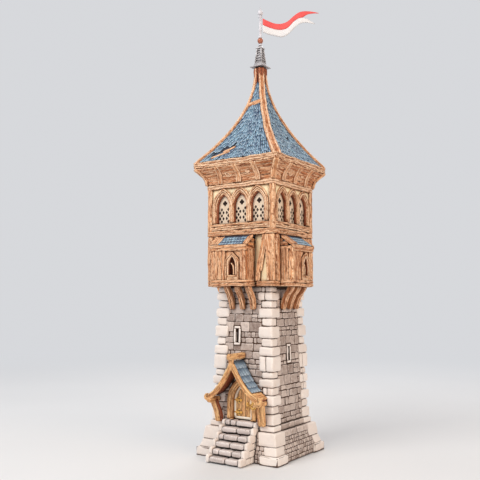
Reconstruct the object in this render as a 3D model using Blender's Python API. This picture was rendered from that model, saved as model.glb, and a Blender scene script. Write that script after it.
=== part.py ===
"""A painted tabletop watchtower: stone shaft, jettied timber storeys, bell-cast slate roof and pennon.

The front faces -Y and +Z is up. Every size below is in millimetres and MM turns it into metres.
A side of the tower is drawn once as (across, out, up): across runs to the right as that side is
seen from outside, out is the distance from the tower's axis, and turned() carries it round to
the other sides.
"""

import math

import bmesh
import bpy
from mathutils import Matrix, Vector

MM = 0.001
GAP = 0.3
SIDES = ("front", "right", "back", "left")
# The corner at the right end of each side, seen from outside.
CORNERS = ("front_right", "back_right", "back_left", "front_left")

# Battered plinth and its string course.
FOOT_HALF = 45.0
FOOT_HEIGHT = 7.5
FOOT_CORNER_LENGTH = 19.0
FOOT_RECESS = 2.0
BATTER_FOOT_HALF = 42.4
BATTER_WAIST_HALF = 40.0
BATTER_WAIST_HEIGHT = 15.5
BATTER_HEAD_HALF = 38.2
PLINTH_HEIGHT = 26.8
COURSE_HALF = 36.0
COURSE_HEIGHT = 5.5

# Flight of steps up to the door.
STEP_COUNT = 6
TREAD_DEPTH = 5.0
LANDING_DEPTH = 6.5
STEPS_HALF_WIDTH = 19.5
CHEEK_WIDTH = 3.4
CHEEK_RISE = 1.5

# Stone shaft.
SHAFT_HEIGHT = 127.0
SHAFT_FOOT_HALF = 33.2
SHAFT_HEAD_HALF = 29.4
ROOM_HALF = 25.0
FLOOR_THICKNESS = 2.2
# Relative heights of the corner courses from the foot up, and whether each is a large one.
QUOIN_COURSES = (
    (9.7, True), (7.6, False), (9.2, True), (7.2, False), (7.9, True), (6.4, False), (14.0, True), (8.6, True),
    (7.8, False), (11.0, True), (7.9, False), (8.9, True), (7.2, False), (7.7, True), (5.4, False),
)
LARGE_QUOIN_PROUD = 2.0
SMALL_QUOIN_PROUD = 1.0
LARGE_QUOIN_LENGTH = 13.0
SMALL_QUOIN_LENGTH = 10.8
QUOIN_BED = 1.5
QUOIN_BED_SHARE = 0.1
QUOIN_JOINT = 0.4
FRONT_SLIT_OFFSET = -7.0
SIDE_SLIT_OFFSET = -1.0
SLIT_HALF_WIDTH = 1.5
SLIT_HEIGHT = 13.0
SLIT_SURROUND_WIDTH = 3.0
SLIT_SURROUND_PROUD = 0.9
LOW_SLIT_CENTRE = 96.4
HIGH_SLIT_CENTRE = 113.5

# Doorway, its frame and its leaf.
DOOR_HALF_WIDTH = 10.6
DOOR_SPRING = 15.6
DOOR_RISE = 18.2
LEAF_THICKNESS = 1.8
LEAF_CLEARANCE = 0.4
LEAF_OUT = 31.1
STOP_LAP = 0.6
FRAME_WIDTH = 5.5
FRAME_FACE = 35.8
ROLL_WIDTH = 3.4
ROLL_PROUD = 0.8
BAND_WIDTH = 2.3
BAND_PROUD = 0.35
STRAP_HEIGHTS = (5.7, 17.0)
STRAP_LENGTH = 8.5
STRAP_WIDTH = 1.7
KNUCKLE_RADIUS = 0.9
KNUCKLE_LENGTH = 4.0

# Porch over the door.
PORCH_EAVE_HALF = 28.5
PORCH_RIDGE_HEIGHT = 91.5
PORCH_EAVE_HEIGHT = 58.0
PORCH_SAG = 5.8
PORCH_THICKNESS = 1.8
PORCH_EAVE_OUT = 51.0
PORCH_RIDGE_OUT = 52.5
BARGE_DEPTH = 4.2
BARGE_THICKNESS = 2.4
RIDGE_LOG_WIDTH = 5.4
RIDGE_LOG_HEIGHT = 6.0
RIDGE_LOG_LAP = 4.0
PURLIN_WIDTH = 5.0
PURLIN_HEIGHT = 5.2
BRACE_STEPS_CLEARANCE = 2.1
BRACE_HEAD_ACROSS = 26.6
BRACE_HEAD_OUT = 45.0
BRACE_WIDTH = 6.8
BRACE_DEPTH = 5.0

# Middle storey: corner piers, and a box bay on each side.
CORE_FLOOR_THICKNESS = 4.6
CORE_HALF = 33.9
PIER_THICKNESS = 3.2
PIER_HEIGHT = 43.5
CORNER_POST_PROUD = 0.4
TRUNK_HALF = 37.8
TRUNK_SETBACK = 4.8
TRUNK_CLEARANCE = 1.0
BAY_LEFT = -25.0
BAY_RIGHT = 15.0
BAY_OUT = 50.6
BAY_WALL = 2.3
BAY_EAVE_HEIGHT = 37.9
BAY_BEAM_HEIGHT = 6.0
BAY_LINTEL_HEIGHT = 4.9
BAY_TRIM_PROUD = 0.7
BAY_POST_WIDTH = 5.4
BAY_ROOF_LAP = 0.5
BAY_ROOF_THICKNESS = 1.7
WINDOW_HALF_WIDTH = 7.5
WINDOW_PROUD = 1.0
WINDOW_GABLE = 7.2
LIGHT_HALF_WIDTH = 4.2
LIGHT_SILL = 10.3
LIGHT_SPRING = 18.5
LIGHT_RISE = 9.5
BRACKET_COUNT = 3
BRACKET_INSET = 0.4
BRACKET_SPACING = 12.0
BRACKET_WIDTH = 5.0
BRACKET_DROP = 22.0
BRACKET_HEAD = 9.3
BRACKET_DEPTH = 5.5
BRACKET_LEAN = 1.0

# Upper storey: an arcade of pointed arches with pierced panels behind it.
UPPER_HALF = 38.4
UPPER_WALL = 4.9
UPPER_POST = 5.6
SILL_HEIGHT = 12.6
SILL_BAND = 0.7
ARCADE_HEIGHT = 33.8
ARCADE_FACE = 37.2
ARCADE_THICKNESS = 3.0
ARCH_PITCH = 19.9
ARCH_HALF_WIDTH = 7.5
ARCH_SPRING = 15.9
ARCH_RISE = 12.4
MOULDING_WIDTH = 1.5
MOULDING_PROUD = 0.8
PLATE_HEIGHT = 4.2
PANEL_THICKNESS = 1.0
QUATREFOIL_HEIGHT = 19.9
QUATREFOIL_LOBE = 1.0
QUATREFOIL_REACH = 1.45
LATTICE_TOP = 13.8
LATTICE_ROWS = 5
LATTICE_PITCH = 2.95
LATTICE_SPREAD = 3.9
DIAMOND_HALF_WIDTH = 1.05
DIAMOND_HALF_HEIGHT = 1.5

# Coved eaves and bell-cast roof.
COVE_HEIGHT = 16.2
COVE_HEAD_HALF = 47.6
COVE_THICKNESS = 2.0
COVE_SWEEP = 4.0
RIB_WIDTH = 4.6
CORNER_RIB_WIDTH = 6.4
RIB_PROUD = 1.5
RIB_PITCH = 21.5
EAVE_HALF = 48.7
EAVE_BEAM_WIDTH = 4.6
EAVE_BEAM_HEIGHT = 4.7
ROOF_FOOT_HALF = 47.4
ROOF_HEAD_HALF = 3.6
ROOF_HEIGHT = 99.0
ROOF_CURVE = 1.95
ROOF_THICKNESS = 3.0
ROOF_LEVELS = 9
HIP_FOOT_WIDTH = 6.8
HIP_HEAD_WIDTH = 4.4
HIP_DEPTH = 2.6
CROWN_HALF = 4.9
CROWN_HEIGHT = 3.5

# Metal lantern, finial and pennon.
SKIRT_HALF = 8.1
SKIRT_HEIGHT = 4.4
SKIRT_EDGE = 0.8
SKIRT_SAG = 0.5
LANTERN_FOOT_HALF = 4.6
LANTERN_HEAD_HALF = 2.8
LANTERN_HEIGHT = 15.5
LOUVRE_COUNT = 4
LOUVRE_HEIGHT = 1.5
LOUVRE_DEPTH = 0.9
LOUVRE_SHARE = 0.55
LOUVRE_MARGIN = 0.5
CAP_HALF = 3.7
CAP_HEIGHT = 3.6
NECK_HEIGHT = 2.2
BALL_RADIUS = 3.0
POLE_RADIUS = 1.3
POLE_HEIGHT = 22.0
RING_HEIGHT = 8.1
RING_PROUD = 0.6
COLLAR_RADIUS = 2.1
COLLAR_HEIGHT = 1.8
COLLAR_BEVEL = 0.4
TOP_BALL_RADIUS = 2.9
TIP_HEIGHT = 3.6
TIP_RADIUS = 0.3
PENNON_HALF_HOIST = 7.1
PENNON_THICKNESS = 1.2
PENNON_ANGLE = 32.0
PENNON_WAVE = 1.6
PENNON_FORK = 43.1
PENNON_DIP = 6.4
PENNON_LIFT = 7.1
PENNON_LEAN = 12.9
PENNON_PULL = 25.0
PENNON_PULL_DIP = 9.6
UPPER_TAIL_REACH = 60.5
UPPER_TAIL_LIFT = 12.3
LOWER_TAIL_REACH = 56.5
LOWER_TAIL_LIFT = 0.4
TAIL_TIP_HALF = 0.3

# The piers stand just inside the backs of the bays.
PIER_HALF = CORE_HALF - GAP

# Levels that follow from the heights.
COURSE_BASE = PLINTH_HEIGHT + GAP
COURSE_TOP = COURSE_BASE + COURSE_HEIGHT
SHAFT_BASE = COURSE_TOP + GAP
SHAFT_TOP = SHAFT_BASE + SHAFT_HEIGHT
DOOR_SILL = SHAFT_BASE + FLOOR_THICKNESS
CORE_BASE = SHAFT_TOP + GAP
PIER_BASE = CORE_BASE + CORE_FLOOR_THICKNESS + GAP
PIER_TOP = PIER_BASE + PIER_HEIGHT
UPPER_BASE = PIER_TOP + GAP
SILL_TOP = UPPER_BASE + SILL_HEIGHT
ARCADE_BASE = SILL_TOP + GAP
ARCADE_TOP = ARCADE_BASE + ARCADE_HEIGHT
PLATE_BASE = ARCADE_TOP + GAP
PLATE_TOP = PLATE_BASE + PLATE_HEIGHT
COVE_BASE = PLATE_TOP + GAP
COVE_TOP = COVE_BASE + COVE_HEIGHT
EAVE_BASE = COVE_TOP + GAP
EAVE_TOP = EAVE_BASE + EAVE_BEAM_HEIGHT
ROOF_BASE = EAVE_TOP + GAP
ROOF_TOP = ROOF_BASE + ROOF_HEIGHT
CROWN_BASE = ROOF_TOP + GAP
LANTERN_BASE = CROWN_BASE + CROWN_HEIGHT + GAP
LANTERN_TOP = LANTERN_BASE + SKIRT_HEIGHT + LANTERN_HEIGHT + CAP_HEIGHT
FINIAL_BASE = LANTERN_TOP + GAP

FINISHES = {
    "timber": ((0.62, 0.33, 0.17), 0.65, 0.0),
    "slate": ((0.28, 0.45, 0.66), 0.6, 0.0),
    "quoin": ((0.86, 0.79, 0.74), 0.75, 0.0),
    "masonry": ((0.5, 0.46, 0.44), 0.8, 0.0),
    "screen": ((0.84, 0.72, 0.58), 0.7, 0.0),
    "pewter": ((0.62, 0.62, 0.64), 0.4, 0.6),
    "pennon": ((0.85, 0.25, 0.22), 0.55, 0.0),
}


def clear_scene():
    for item in list(bpy.data.objects):
        bpy.data.objects.remove(item, do_unlink=True)


def finish_of(name, finish):
    colour, roughness, metallic = FINISHES[finish]
    made = bpy.data.materials.new(name + "_paint")
    made.use_nodes = True
    shader = made.node_tree.nodes["Principled BSDF"]
    shader.inputs["Base Color"].default_value = (*colour, 1.0)
    shader.inputs["Roughness"].default_value = roughness
    shader.inputs["Metallic"].default_value = metallic
    return made


# A shape is a pair: its points, and its faces as lists of point numbers.


def loft(rings, closed=False, caps=(True, True)):
    """Skin equal rings of points in order, with a cap at each end unless the row of rings is closed."""
    count = len(rings[0])
    points = [point for ring in rings for point in ring]
    faces = []
    last = len(rings) if closed else len(rings) - 1
    for row in range(last):
        here = row * count
        there = ((row + 1) % len(rings)) * count
        for i in range(count):
            j = (i + 1) % count
            faces.append([here + i, here + j, there + j, there + i])
    if caps[0] and not closed:
        faces.append(list(range(count))[::-1])
    if caps[1] and not closed:
        faces.append([(len(rings) - 1) * count + i for i in range(count)])
    return points, faces


def out_of(outline, inner, outer):
    """An (across, up) outline drawn out from the axis, between two distances."""
    return loft([[(a, out, up) for a, up in outline] for out in (inner, outer)])


def across(outline, left, right):
    """An (out, up) outline drawn sideways along a wall."""
    return loft([[(a, out, up) for out, up in outline] for a in (left, right)])


def upward(outline, low, high):
    """An (across, out) outline drawn up from one level to another."""
    return loft([[(a, out, up) for a, out in outline] for up in (low, high)])


def block(left, right, inner, outer, low, high):
    return upward([(left, inner), (right, inner), (right, outer), (left, outer)], low, high)


def square_stack(levels):
    """A solid square in plan, from (half width, level) pairs."""
    return loft([square(half, level) for half, level in levels])


def square(half, level):
    return [(half, half, level), (-half, half, level), (-half, -half, level), (half, -half, level)]


def square_ring(profile):
    """A hollow square in plan: a closed (half width, level) profile carried round four corners."""
    corners = [(1, 1), (-1, 1), (-1, -1), (1, -1)]
    return loft([[(x * half, y * half, up) for half, up in profile] for x, y in corners], closed=True)


def joined(shapes):
    """Shapes that don't touch, as one."""
    points, faces = [], []
    for more_points, more_faces in shapes:
        start = len(points)
        points = points + list(more_points)
        faces = faces + [[start + i for i in face] for face in more_faces]
    return points, faces


def turned(shape, degrees):
    """The shape carried round the tower's axis."""
    points, faces = shape
    turn = Matrix.Rotation(math.radians(degrees), 3, "Z")
    moved = []
    for a, out, up in points:
        x, y, z = turn @ Vector((a, -out, up))
        moved.append((x, -y, z))
    return moved, faces


def mirrored(shape):
    points, faces = shape
    return [(-a, out, up) for a, out, up in points], faces


def sheared(shape, move):
    """The shape with every point passed through move(across, out, up)."""
    points, faces = shape
    return [move(*point) for point in points], faces


def mesh_object(name, shape, side=0):
    points, faces = turned(shape, 90 * side)
    shell = bmesh.new()
    made = [shell.verts.new((a * MM, -out * MM, up * MM)) for a, out, up in points]
    for face in faces:
        shell.faces.new([made[i] for i in face])
    bmesh.ops.remove_doubles(shell, verts=shell.verts[:], dist=1e-7)
    bmesh.ops.recalc_face_normals(shell, faces=shell.faces[:])
    mesh = bpy.data.meshes.new(name)
    shell.to_mesh(mesh)
    shell.free()
    item = bpy.data.objects.new(name, mesh)
    bpy.context.scene.collection.objects.link(item)
    return item


def helper(name, shape, side):
    item = mesh_object(name, shape, side)
    item.hide_render = True
    item.display_type = "WIRE"
    return item


def piece(name, base, finish, adds=(), cuts=(), side=0, fixings=()):
    """One sub-part: a base shape, what is fused to it, what is cut from it and what is fixed on last."""
    item = mesh_object(name, base, side)
    item.data.materials.append(finish_of(name, finish))
    steps = [("UNION", shape) for shape in adds]
    steps += [("DIFFERENCE", shape) for shape in cuts]
    steps += [("UNION", shape) for shape in fixings]
    for number, (operation, shape) in enumerate(steps):
        modifier = item.modifiers.new(f"{operation.lower()}_{number}", "BOOLEAN")
        modifier.operation = operation
        modifier.solver = "EXACT"
        modifier.object = helper(f"{name}_{operation.lower()}_{number}", shape, side)
    return item


def arch(half, foot, spring, rise, steps=5):
    """A pointed arch as (across, up) points, from its left foot over the point to its right foot."""
    radius = (half * half + rise * rise) / (2 * half)
    reach = math.asin(rise / radius)
    right = [
        (half - radius + radius * math.cos(reach * i / steps), spring + radius * math.sin(reach * i / steps))
        for i in range(steps + 1)
    ]
    left = [(-a, up) for a, up in right]
    return [(-half, foot)] + left + right[-2::-1] + [(half, foot)]


def shifted(outline, by):
    return [(a + by, up) for a, up in outline]


def curve(start, lean, pull, end, steps=7):
    """Points along a cubic Bezier curve in a plane."""
    points = []
    for i in range(steps + 1):
        t = i / steps
        weights = ((1 - t) ** 3, 3 * t * (1 - t) ** 2, 3 * t * t * (1 - t), t**3)
        points.append(
            tuple(sum(w * p[k] for w, p in zip(weights, (start, lean, pull, end))) for k in range(2))
        )
    return points


def shaft_half(level):
    """Half the width of the stone shaft at a level: it tapers as it rises."""
    share = (level - SHAFT_BASE) / SHAFT_HEIGHT
    return SHAFT_FOOT_HALF + (SHAFT_HEAD_HALF - SHAFT_FOOT_HALF) * share


def shaft_slab(left, right, low, high, inner=ROOM_HALF, proud=0.0):
    """A piece of shaft wall whose outer face keeps the taper."""
    rings = []
    for level in (low, high):
        face = shaft_half(level) + proud
        rings.append([(left, inner, level), (right, inner, level), (right, face, level), (left, face, level)])
    return loft(rings)


def make_plinth():
    levels = [
        (FOOT_HALF, 0.0),
        (FOOT_HALF, FOOT_HEIGHT),
        (BATTER_FOOT_HALF, FOOT_HEIGHT),
        (BATTER_WAIST_HALF, BATTER_WAIST_HEIGHT),
        (BATTER_HEAD_HALF, PLINTH_HEIGHT),
    ]
    notch_half = STEPS_HALF_WIDTH + GAP
    notch = block(-notch_half, notch_half, SHAFT_FOOT_HALF, 2 * FOOT_HALF, -FOOT_HEIGHT, SHAFT_TOP)
    recess_half = FOOT_HALF - FOOT_CORNER_LENGTH
    recess = block(
        -recess_half, recess_half, FOOT_HALF - FOOT_RECESS, 2 * FOOT_HALF, -FOOT_HEIGHT, FOOT_HEIGHT + GAP
    )
    recesses = joined([turned(recess, 90 * side) for side in range(4)])
    piece("plinth", square_stack(levels), "masonry", cuts=[notch, recesses])
    course = square_stack([(COURSE_HALF, COURSE_BASE), (COURSE_HALF, COURSE_TOP)])
    piece("string_course", course, "quoin", cuts=[notch])


def stair_outline(lift, back, front_out):
    """The side of the flight as (out, up) points, lifted above the treads by lift."""
    rise = DOOR_SILL / STEP_COUNT
    outline = [(back, 0.0), (back, DOOR_SILL)]
    for step in range(STEP_COUNT, 0, -1):
        edge = front_out - (step - 1) * TREAD_DEPTH + lift
        outline += [(edge, min(step * rise + lift, DOOR_SILL)), (edge, (step - 1) * rise + lift * (step > 1))]
    return outline


def make_steps():
    back = SHAFT_FOOT_HALF + GAP
    front_out = back + LANDING_DEPTH + (STEP_COUNT - 1) * TREAD_DEPTH
    inner = STEPS_HALF_WIDTH - CHEEK_WIDTH
    cheek = across(stair_outline(CHEEK_RISE, back, front_out - CHEEK_RISE), inner, STEPS_HALF_WIDTH)
    flight = across(stair_outline(0.0, back, front_out), -STEPS_HALF_WIDTH, STEPS_HALF_WIDTH)
    piece("steps", flight, "quoin", adds=[joined([cheek, mirrored(cheek)])])


def make_ground_floor():
    half = ROOM_HALF - GAP
    throat = DOOR_HALF_WIDTH + FRAME_WIDTH
    sill_out = SHAFT_FOOT_HALF
    outline = [(-half, -half), (half, -half), (half, half), (throat, half), (throat, sill_out)]
    outline += [(-throat, sill_out), (-throat, half), (-half, half)]
    piece("ground_floor", upward(outline, SHAFT_BASE, DOOR_SILL), "masonry")


def make_shaft_walls():
    half = ROOM_HALF - GAP
    throat = DOOR_HALF_WIDTH + FRAME_WIDTH + GAP
    spring = DOOR_SILL + DOOR_SPRING
    over = arch(throat, spring - DOOR_SPRING, spring, DOOR_RISE + FRAME_WIDTH + GAP)
    head = out_of(over, 0.0, 2 * SHAFT_FOOT_HALF)
    piece("front_wall_left", shaft_slab(-half, -throat, SHAFT_BASE, spring), "masonry")
    piece("front_wall_right", shaft_slab(throat, half, SHAFT_BASE, spring), "masonry")
    for side, name in enumerate(SIDES):
        centre = LOW_SLIT_CENTRE if side % 2 else HIGH_SLIT_CENTRE
        at = SIDE_SLIT_OFFSET if side % 2 else FRONT_SLIT_OFFSET
        low, high = centre - SLIT_HEIGHT / 2, centre + SLIT_HEIGHT / 2
        edge = SLIT_HALF_WIDTH + SLIT_SURROUND_WIDTH
        surround = shaft_slab(
            at - edge, at + edge, low - SLIT_SURROUND_WIDTH, high + SLIT_SURROUND_WIDTH,
            (ROOM_HALF + SHAFT_HEAD_HALF) / 2, SLIT_SURROUND_PROUD,
        )
        slit = block(at - SLIT_HALF_WIDTH, at + SLIT_HALF_WIDTH, 0.0, 2 * SHAFT_FOOT_HALF, low, high)
        if side == 0:
            wall = shaft_slab(-half, half, spring + GAP, SHAFT_TOP)
            piece("front_wall_over_door", wall, "masonry", adds=[surround], cuts=[slit, head])
        else:
            wall = shaft_slab(-half, half, SHAFT_BASE, SHAFT_TOP)
            piece(name + "_wall", wall, "masonry", adds=[surround], cuts=[slit], side=side)


def quoin_block(low, high, proud, length, inset=0.0):
    """One L-shaped corner course: inset starts it inside the courses that it is fused to."""
    rings = []
    for level in (low, high):
        heart = ROOM_HALF + inset
        wall = shaft_half(level) + GAP + inset * QUOIN_BED_SHARE
        face = shaft_half(level) + proud
        end = face - length
        corner = [(heart, heart), (wall, heart), (wall, end), (face, end)]
        corner += [(face, face), (end, face), (end, wall), (heart, wall)]
        rings.append([(a, out, level) for a, out in corner])
    return loft(rings)


def make_quoins():
    unit = SHAFT_HEIGHT / sum(height for height, _ in QUOIN_COURSES)
    column = quoin_block(SHAFT_BASE, SHAFT_TOP, SMALL_QUOIN_PROUD, SMALL_QUOIN_LENGTH)
    large = []
    level = SHAFT_BASE
    for height, is_large in QUOIN_COURSES:
        top = level + height * unit
        if is_large:
            low, high = level + QUOIN_JOINT / 2, top - QUOIN_JOINT / 2
            large.append(quoin_block(low, high, LARGE_QUOIN_PROUD, LARGE_QUOIN_LENGTH, QUOIN_BED))
        level = top
    for side, name in enumerate(CORNERS):
        piece(f"{name}_quoins", column, "quoin", adds=[joined(large)], side=side)


def make_door():
    spring = DOOR_SILL + DOOR_SPRING
    foot = DOOR_SILL + GAP
    leaf_back = LEAF_OUT - LEAF_THICKNESS
    outer = arch(DOOR_HALF_WIDTH + FRAME_WIDTH, foot, spring, DOOR_RISE + FRAME_WIDTH)
    roll = arch(DOOR_HALF_WIDTH + ROLL_WIDTH, foot, spring, DOOR_RISE + ROLL_WIDTH)
    stop_half = DOOR_HALF_WIDTH - STOP_LAP
    opening = arch(stop_half, 0.0, spring, DOOR_RISE - STOP_LAP)
    pocket = arch(DOOR_HALF_WIDTH + LEAF_CLEARANCE, 0.0, spring, DOOR_RISE + LEAF_CLEARANCE)
    cuts = [
        out_of(opening, 0.0, 2 * FRAME_FACE),
        out_of(pocket, 0.0, LEAF_OUT + GAP),
    ]
    # The frame ends level with the back of the leaf, so that the pointed leaf can swing inwards.
    frame = out_of(outer, leaf_back + GAP, FRAME_FACE)
    proud = out_of(roll, FRAME_FACE - ROLL_PROUD, FRAME_FACE + ROLL_PROUD)
    piece("door_frame", frame, "timber", adds=[proud], cuts=cuts)
    leaf_foot = DOOR_SILL + LEAF_CLEARANCE
    leaf = out_of(arch(DOOR_HALF_WIDTH, leaf_foot, spring, DOOR_RISE), leaf_back, LEAF_OUT)
    band_half = stop_half - LEAF_CLEARANCE
    band = arch(band_half, leaf_foot, spring, DOOR_RISE - STOP_LAP - LEAF_CLEARANCE)
    field_rise = DOOR_RISE - STOP_LAP - LEAF_CLEARANCE - BAND_WIDTH
    field = arch(band_half - BAND_WIDTH, leaf_foot + BAND_WIDTH, spring, field_rise)
    face = LEAF_OUT + BAND_PROUD
    straps = [
        block(
            BAND_WIDTH / 2 - band_half, STRAP_LENGTH - band_half, LEAF_OUT - BAND_PROUD, face,
            DOOR_SILL + height, DOOR_SILL + height + STRAP_WIDTH,
        )
        for height in STRAP_HEIGHTS
    ]
    # The knuckles lie on the hinge's axis, behind the leaf's hinged edge.
    axis_out = leaf_back - KNUCKLE_RADIUS + BAND_PROUD / 2
    middle = KNUCKLE_LENGTH / 2
    knuckles = [
        round_bar(
            -DOOR_HALF_WIDTH, axis_out, KNUCKLE_RADIUS,
            DOOR_SILL + height - middle, DOOR_SILL + height + middle,
        )
        for height in STRAP_HEIGHTS
    ]
    item = piece(
        "door_leaf", leaf, "timber", adds=[out_of(band, LEAF_OUT - BAND_PROUD, face)],
        cuts=[out_of(field, LEAF_OUT, FRAME_FACE)], fixings=[joined(straps), joined(knuckles)],
    )
    hinge = Vector((-DOOR_HALF_WIDTH, -axis_out, leaf_foot)) * MM
    item.data.transform(Matrix.Translation(-hinge))
    item.location = hinge


def round_bar(middle, out, radius, low, high, count=12):
    """An upright round bar beside a wall."""
    angles = [2 * math.pi * i / count for i in range(count)]
    ring = [(middle + radius * math.cos(angle), out + radius * math.sin(angle)) for angle in angles]
    return upward(ring, low, high)


def porch_line(offset=0.0, steps=5):
    """One slope of the porch as (across, up) points: it sags between its ridge and its eave."""
    points = []
    for i in range(steps + 1):
        t = i / steps
        fall = (PORCH_RIDGE_HEIGHT - PORCH_EAVE_HEIGHT) * t
        sag = PORCH_SAG * 4 * t * (1 - t)
        points.append((PORCH_EAVE_HALF * t, PORCH_RIDGE_HEIGHT - fall - sag - offset))
    return points


def slope(top_offset, bottom_offset):
    """Both slopes of the porch as one outline between two offsets below the roof line."""
    top = porch_line(top_offset)
    bottom = porch_line(bottom_offset)
    upper = [(-a, up) for a, up in top[:0:-1]] + top
    lower = bottom[::-1] + [(-a, up) for a, up in bottom[1:]]
    return upper + lower


def prow(a, out, up):
    """Leans the porch's front so that the ridge stands further out than the eaves."""
    share = 1 - abs(a) / PORCH_EAVE_HALF
    lean = (PORCH_RIDGE_OUT - PORCH_EAVE_OUT) * share
    return (a, out + lean * (out > PORCH_EAVE_OUT - 2 * BARGE_THICKNESS), up)


def wall_clearance():
    """What the porch must not enter: the shaft's face, and the quoins' proud faces beside it."""
    reach = 2 * PORCH_EAVE_HALF
    inner_end = SHAFT_HEAD_HALF + LARGE_QUOIN_PROUD - LARGE_QUOIN_LENGTH
    face = shaft_slab(-reach, reach, SHAFT_BASE, SHAFT_TOP, 0.0, GAP)
    quoins = shaft_slab(inner_end, reach, SHAFT_BASE, SHAFT_TOP, 0.0, LARGE_QUOIN_PROUD + GAP)
    return [face, joined([quoins, mirrored(quoins)])]


def make_porch():
    barge_inner = PORCH_EAVE_OUT - BARGE_THICKNESS
    roof = sheared(out_of(slope(0.0, PORCH_THICKNESS), ROOM_HALF, barge_inner - GAP), prow)
    piece("porch_roof", roof, "slate", cuts=wall_clearance())
    barge = sheared(out_of(slope(0.0, BARGE_DEPTH), barge_inner, PORCH_EAVE_OUT), prow)
    log_half = RIDGE_LOG_WIDTH / 2
    log_base = PORCH_RIDGE_HEIGHT + GAP
    log_out = PORCH_RIDGE_OUT + RIDGE_LOG_LAP
    log = block(-log_half, log_half, ROOM_HALF, log_out, log_base, log_base + RIDGE_LOG_HEIGHT)
    purlin_top = PORCH_EAVE_HEIGHT - PORCH_THICKNESS - GAP
    purlin_right = PORCH_EAVE_HALF + GAP
    purlin = block(
        purlin_right - PURLIN_WIDTH, purlin_right, ROOM_HALF, PORCH_EAVE_OUT + GAP,
        purlin_top - PURLIN_HEIGHT, purlin_top,
    )
    king_half = RIDGE_LOG_WIDTH / 2
    king = block(
        -king_half, king_half, PORCH_RIDGE_OUT - BARGE_THICKNESS / 2, PORCH_RIDGE_OUT + BARGE_THICKNESS / 2,
        PORCH_RIDGE_HEIGHT - 2 * BARGE_DEPTH, log_base + RIDGE_LOG_HEIGHT / 2,
    )
    brace = porch_brace(purlin_top - PURLIN_HEIGHT / 2)
    adds = [joined([purlin, mirrored(purlin)]), log, king, joined([brace, mirrored(brace)])]
    piece("porch_frame", barge, "timber", adds=adds, cuts=wall_clearance())


def porch_brace(top):
    """A gently curved brace from the string course up and out to the eave purlin."""
    foot_out = SHAFT_FOOT_HALF + LARGE_QUOIN_PROUD + 2 * GAP
    head_out = BRACE_HEAD_OUT - BRACE_DEPTH
    foot_across = STEPS_HALF_WIDTH + BRACE_STEPS_CLEARANCE + BRACE_WIDTH / 2
    rings = []
    steps = 6
    for i in range(steps + 1):
        t = i / steps
        ease = t * t * (3 - 2 * t)
        centre = foot_across + (BRACE_HEAD_ACROSS - foot_across) * ease
        inner = foot_out + (head_out - foot_out) * ease
        level = SHAFT_BASE + (top - SHAFT_BASE) * t
        left, right = centre - BRACE_WIDTH / 2, centre + BRACE_WIDTH / 2
        outer = inner + BRACE_DEPTH
        rings.append([(left, inner, level), (right, inner, level), (right, outer, level), (left, outer, level)])
    return loft(rings)


def make_core():
    top = CORE_BASE + CORE_FLOOR_THICKNESS
    # The trunks stand proud of the core's walls, between the end of one bay and the start of the next.
    trunk_near = BAY_RIGHT + TRUNK_SETBACK
    trunk_far = -BAY_LEFT + TRUNK_CLEARANCE
    beam_face = TRUNK_HALF + CORNER_POST_PROUD
    beam_end = block(trunk_near, beam_face, trunk_far, beam_face, CORE_BASE, top)
    floor = square_stack([(CORE_HALF, CORE_BASE), (CORE_HALF, top)])
    piece("core_floor", floor, "timber", adds=[joined([turned(beam_end, 90 * side) for side in range(4)])])
    inner = PIER_HALF - PIER_THICKNESS
    # Seen from above, each pier has one arm beside the right end of a bay and one beside the next bay's left end.
    near = BAY_RIGHT + GAP
    far = -BAY_LEFT + GAP
    outline = [
        (near, inner), (inner, inner), (inner, far), (PIER_HALF, far), (PIER_HALF, PIER_HALF), (near, PIER_HALF),
    ]
    heart = PIER_HALF - PIER_THICKNESS / 2
    trunk_outline = [
        (trunk_near, heart), (heart, heart), (heart, trunk_far), (TRUNK_HALF, trunk_far),
        (TRUNK_HALF, TRUNK_HALF), (trunk_near, TRUNK_HALF),
    ]
    post = trunk_far + GAP
    adds = [
        upward(trunk_outline, PIER_BASE, PIER_TOP),
        block(post, beam_face, post, beam_face, PIER_BASE, PIER_TOP),
    ]
    for side, name in enumerate(CORNERS):
        piece(f"{name}_pier", upward(outline, PIER_BASE, PIER_TOP), "timber", adds=adds, side=side)


def bay_bracket(middle):
    """One curved bracket from under the bay's front down to the face of the shaft."""
    top = CORE_BASE + BAY_WALL / 2
    foot = CORE_BASE - BRACKET_DROP
    wall = shaft_half(foot) + GAP
    heel = shaft_half(foot + BRACKET_DROP / 2) + GAP
    reach = CORE_HALF + GAP + BRACKET_HEAD
    outer = curve(
        (reach, top), (reach - BRACKET_DEPTH, top - BRACKET_DEPTH),
        (wall + BRACKET_DEPTH, foot + BRACKET_DROP / 2), (wall + BRACKET_DEPTH / 2, foot),
    )
    inner = curve(
        (heel, foot + BRACKET_DROP / 2), (heel + BRACKET_LEAN, top - BRACKET_DEPTH),
        (reach - 2 * BRACKET_DEPTH, top - BRACKET_DEPTH / 2), (reach - BRACKET_DEPTH, top),
    )
    outline = outer + [(wall, foot)] + inner
    return across(outline, middle - BRACKET_WIDTH / 2, middle + BRACKET_WIDTH / 2)


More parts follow.
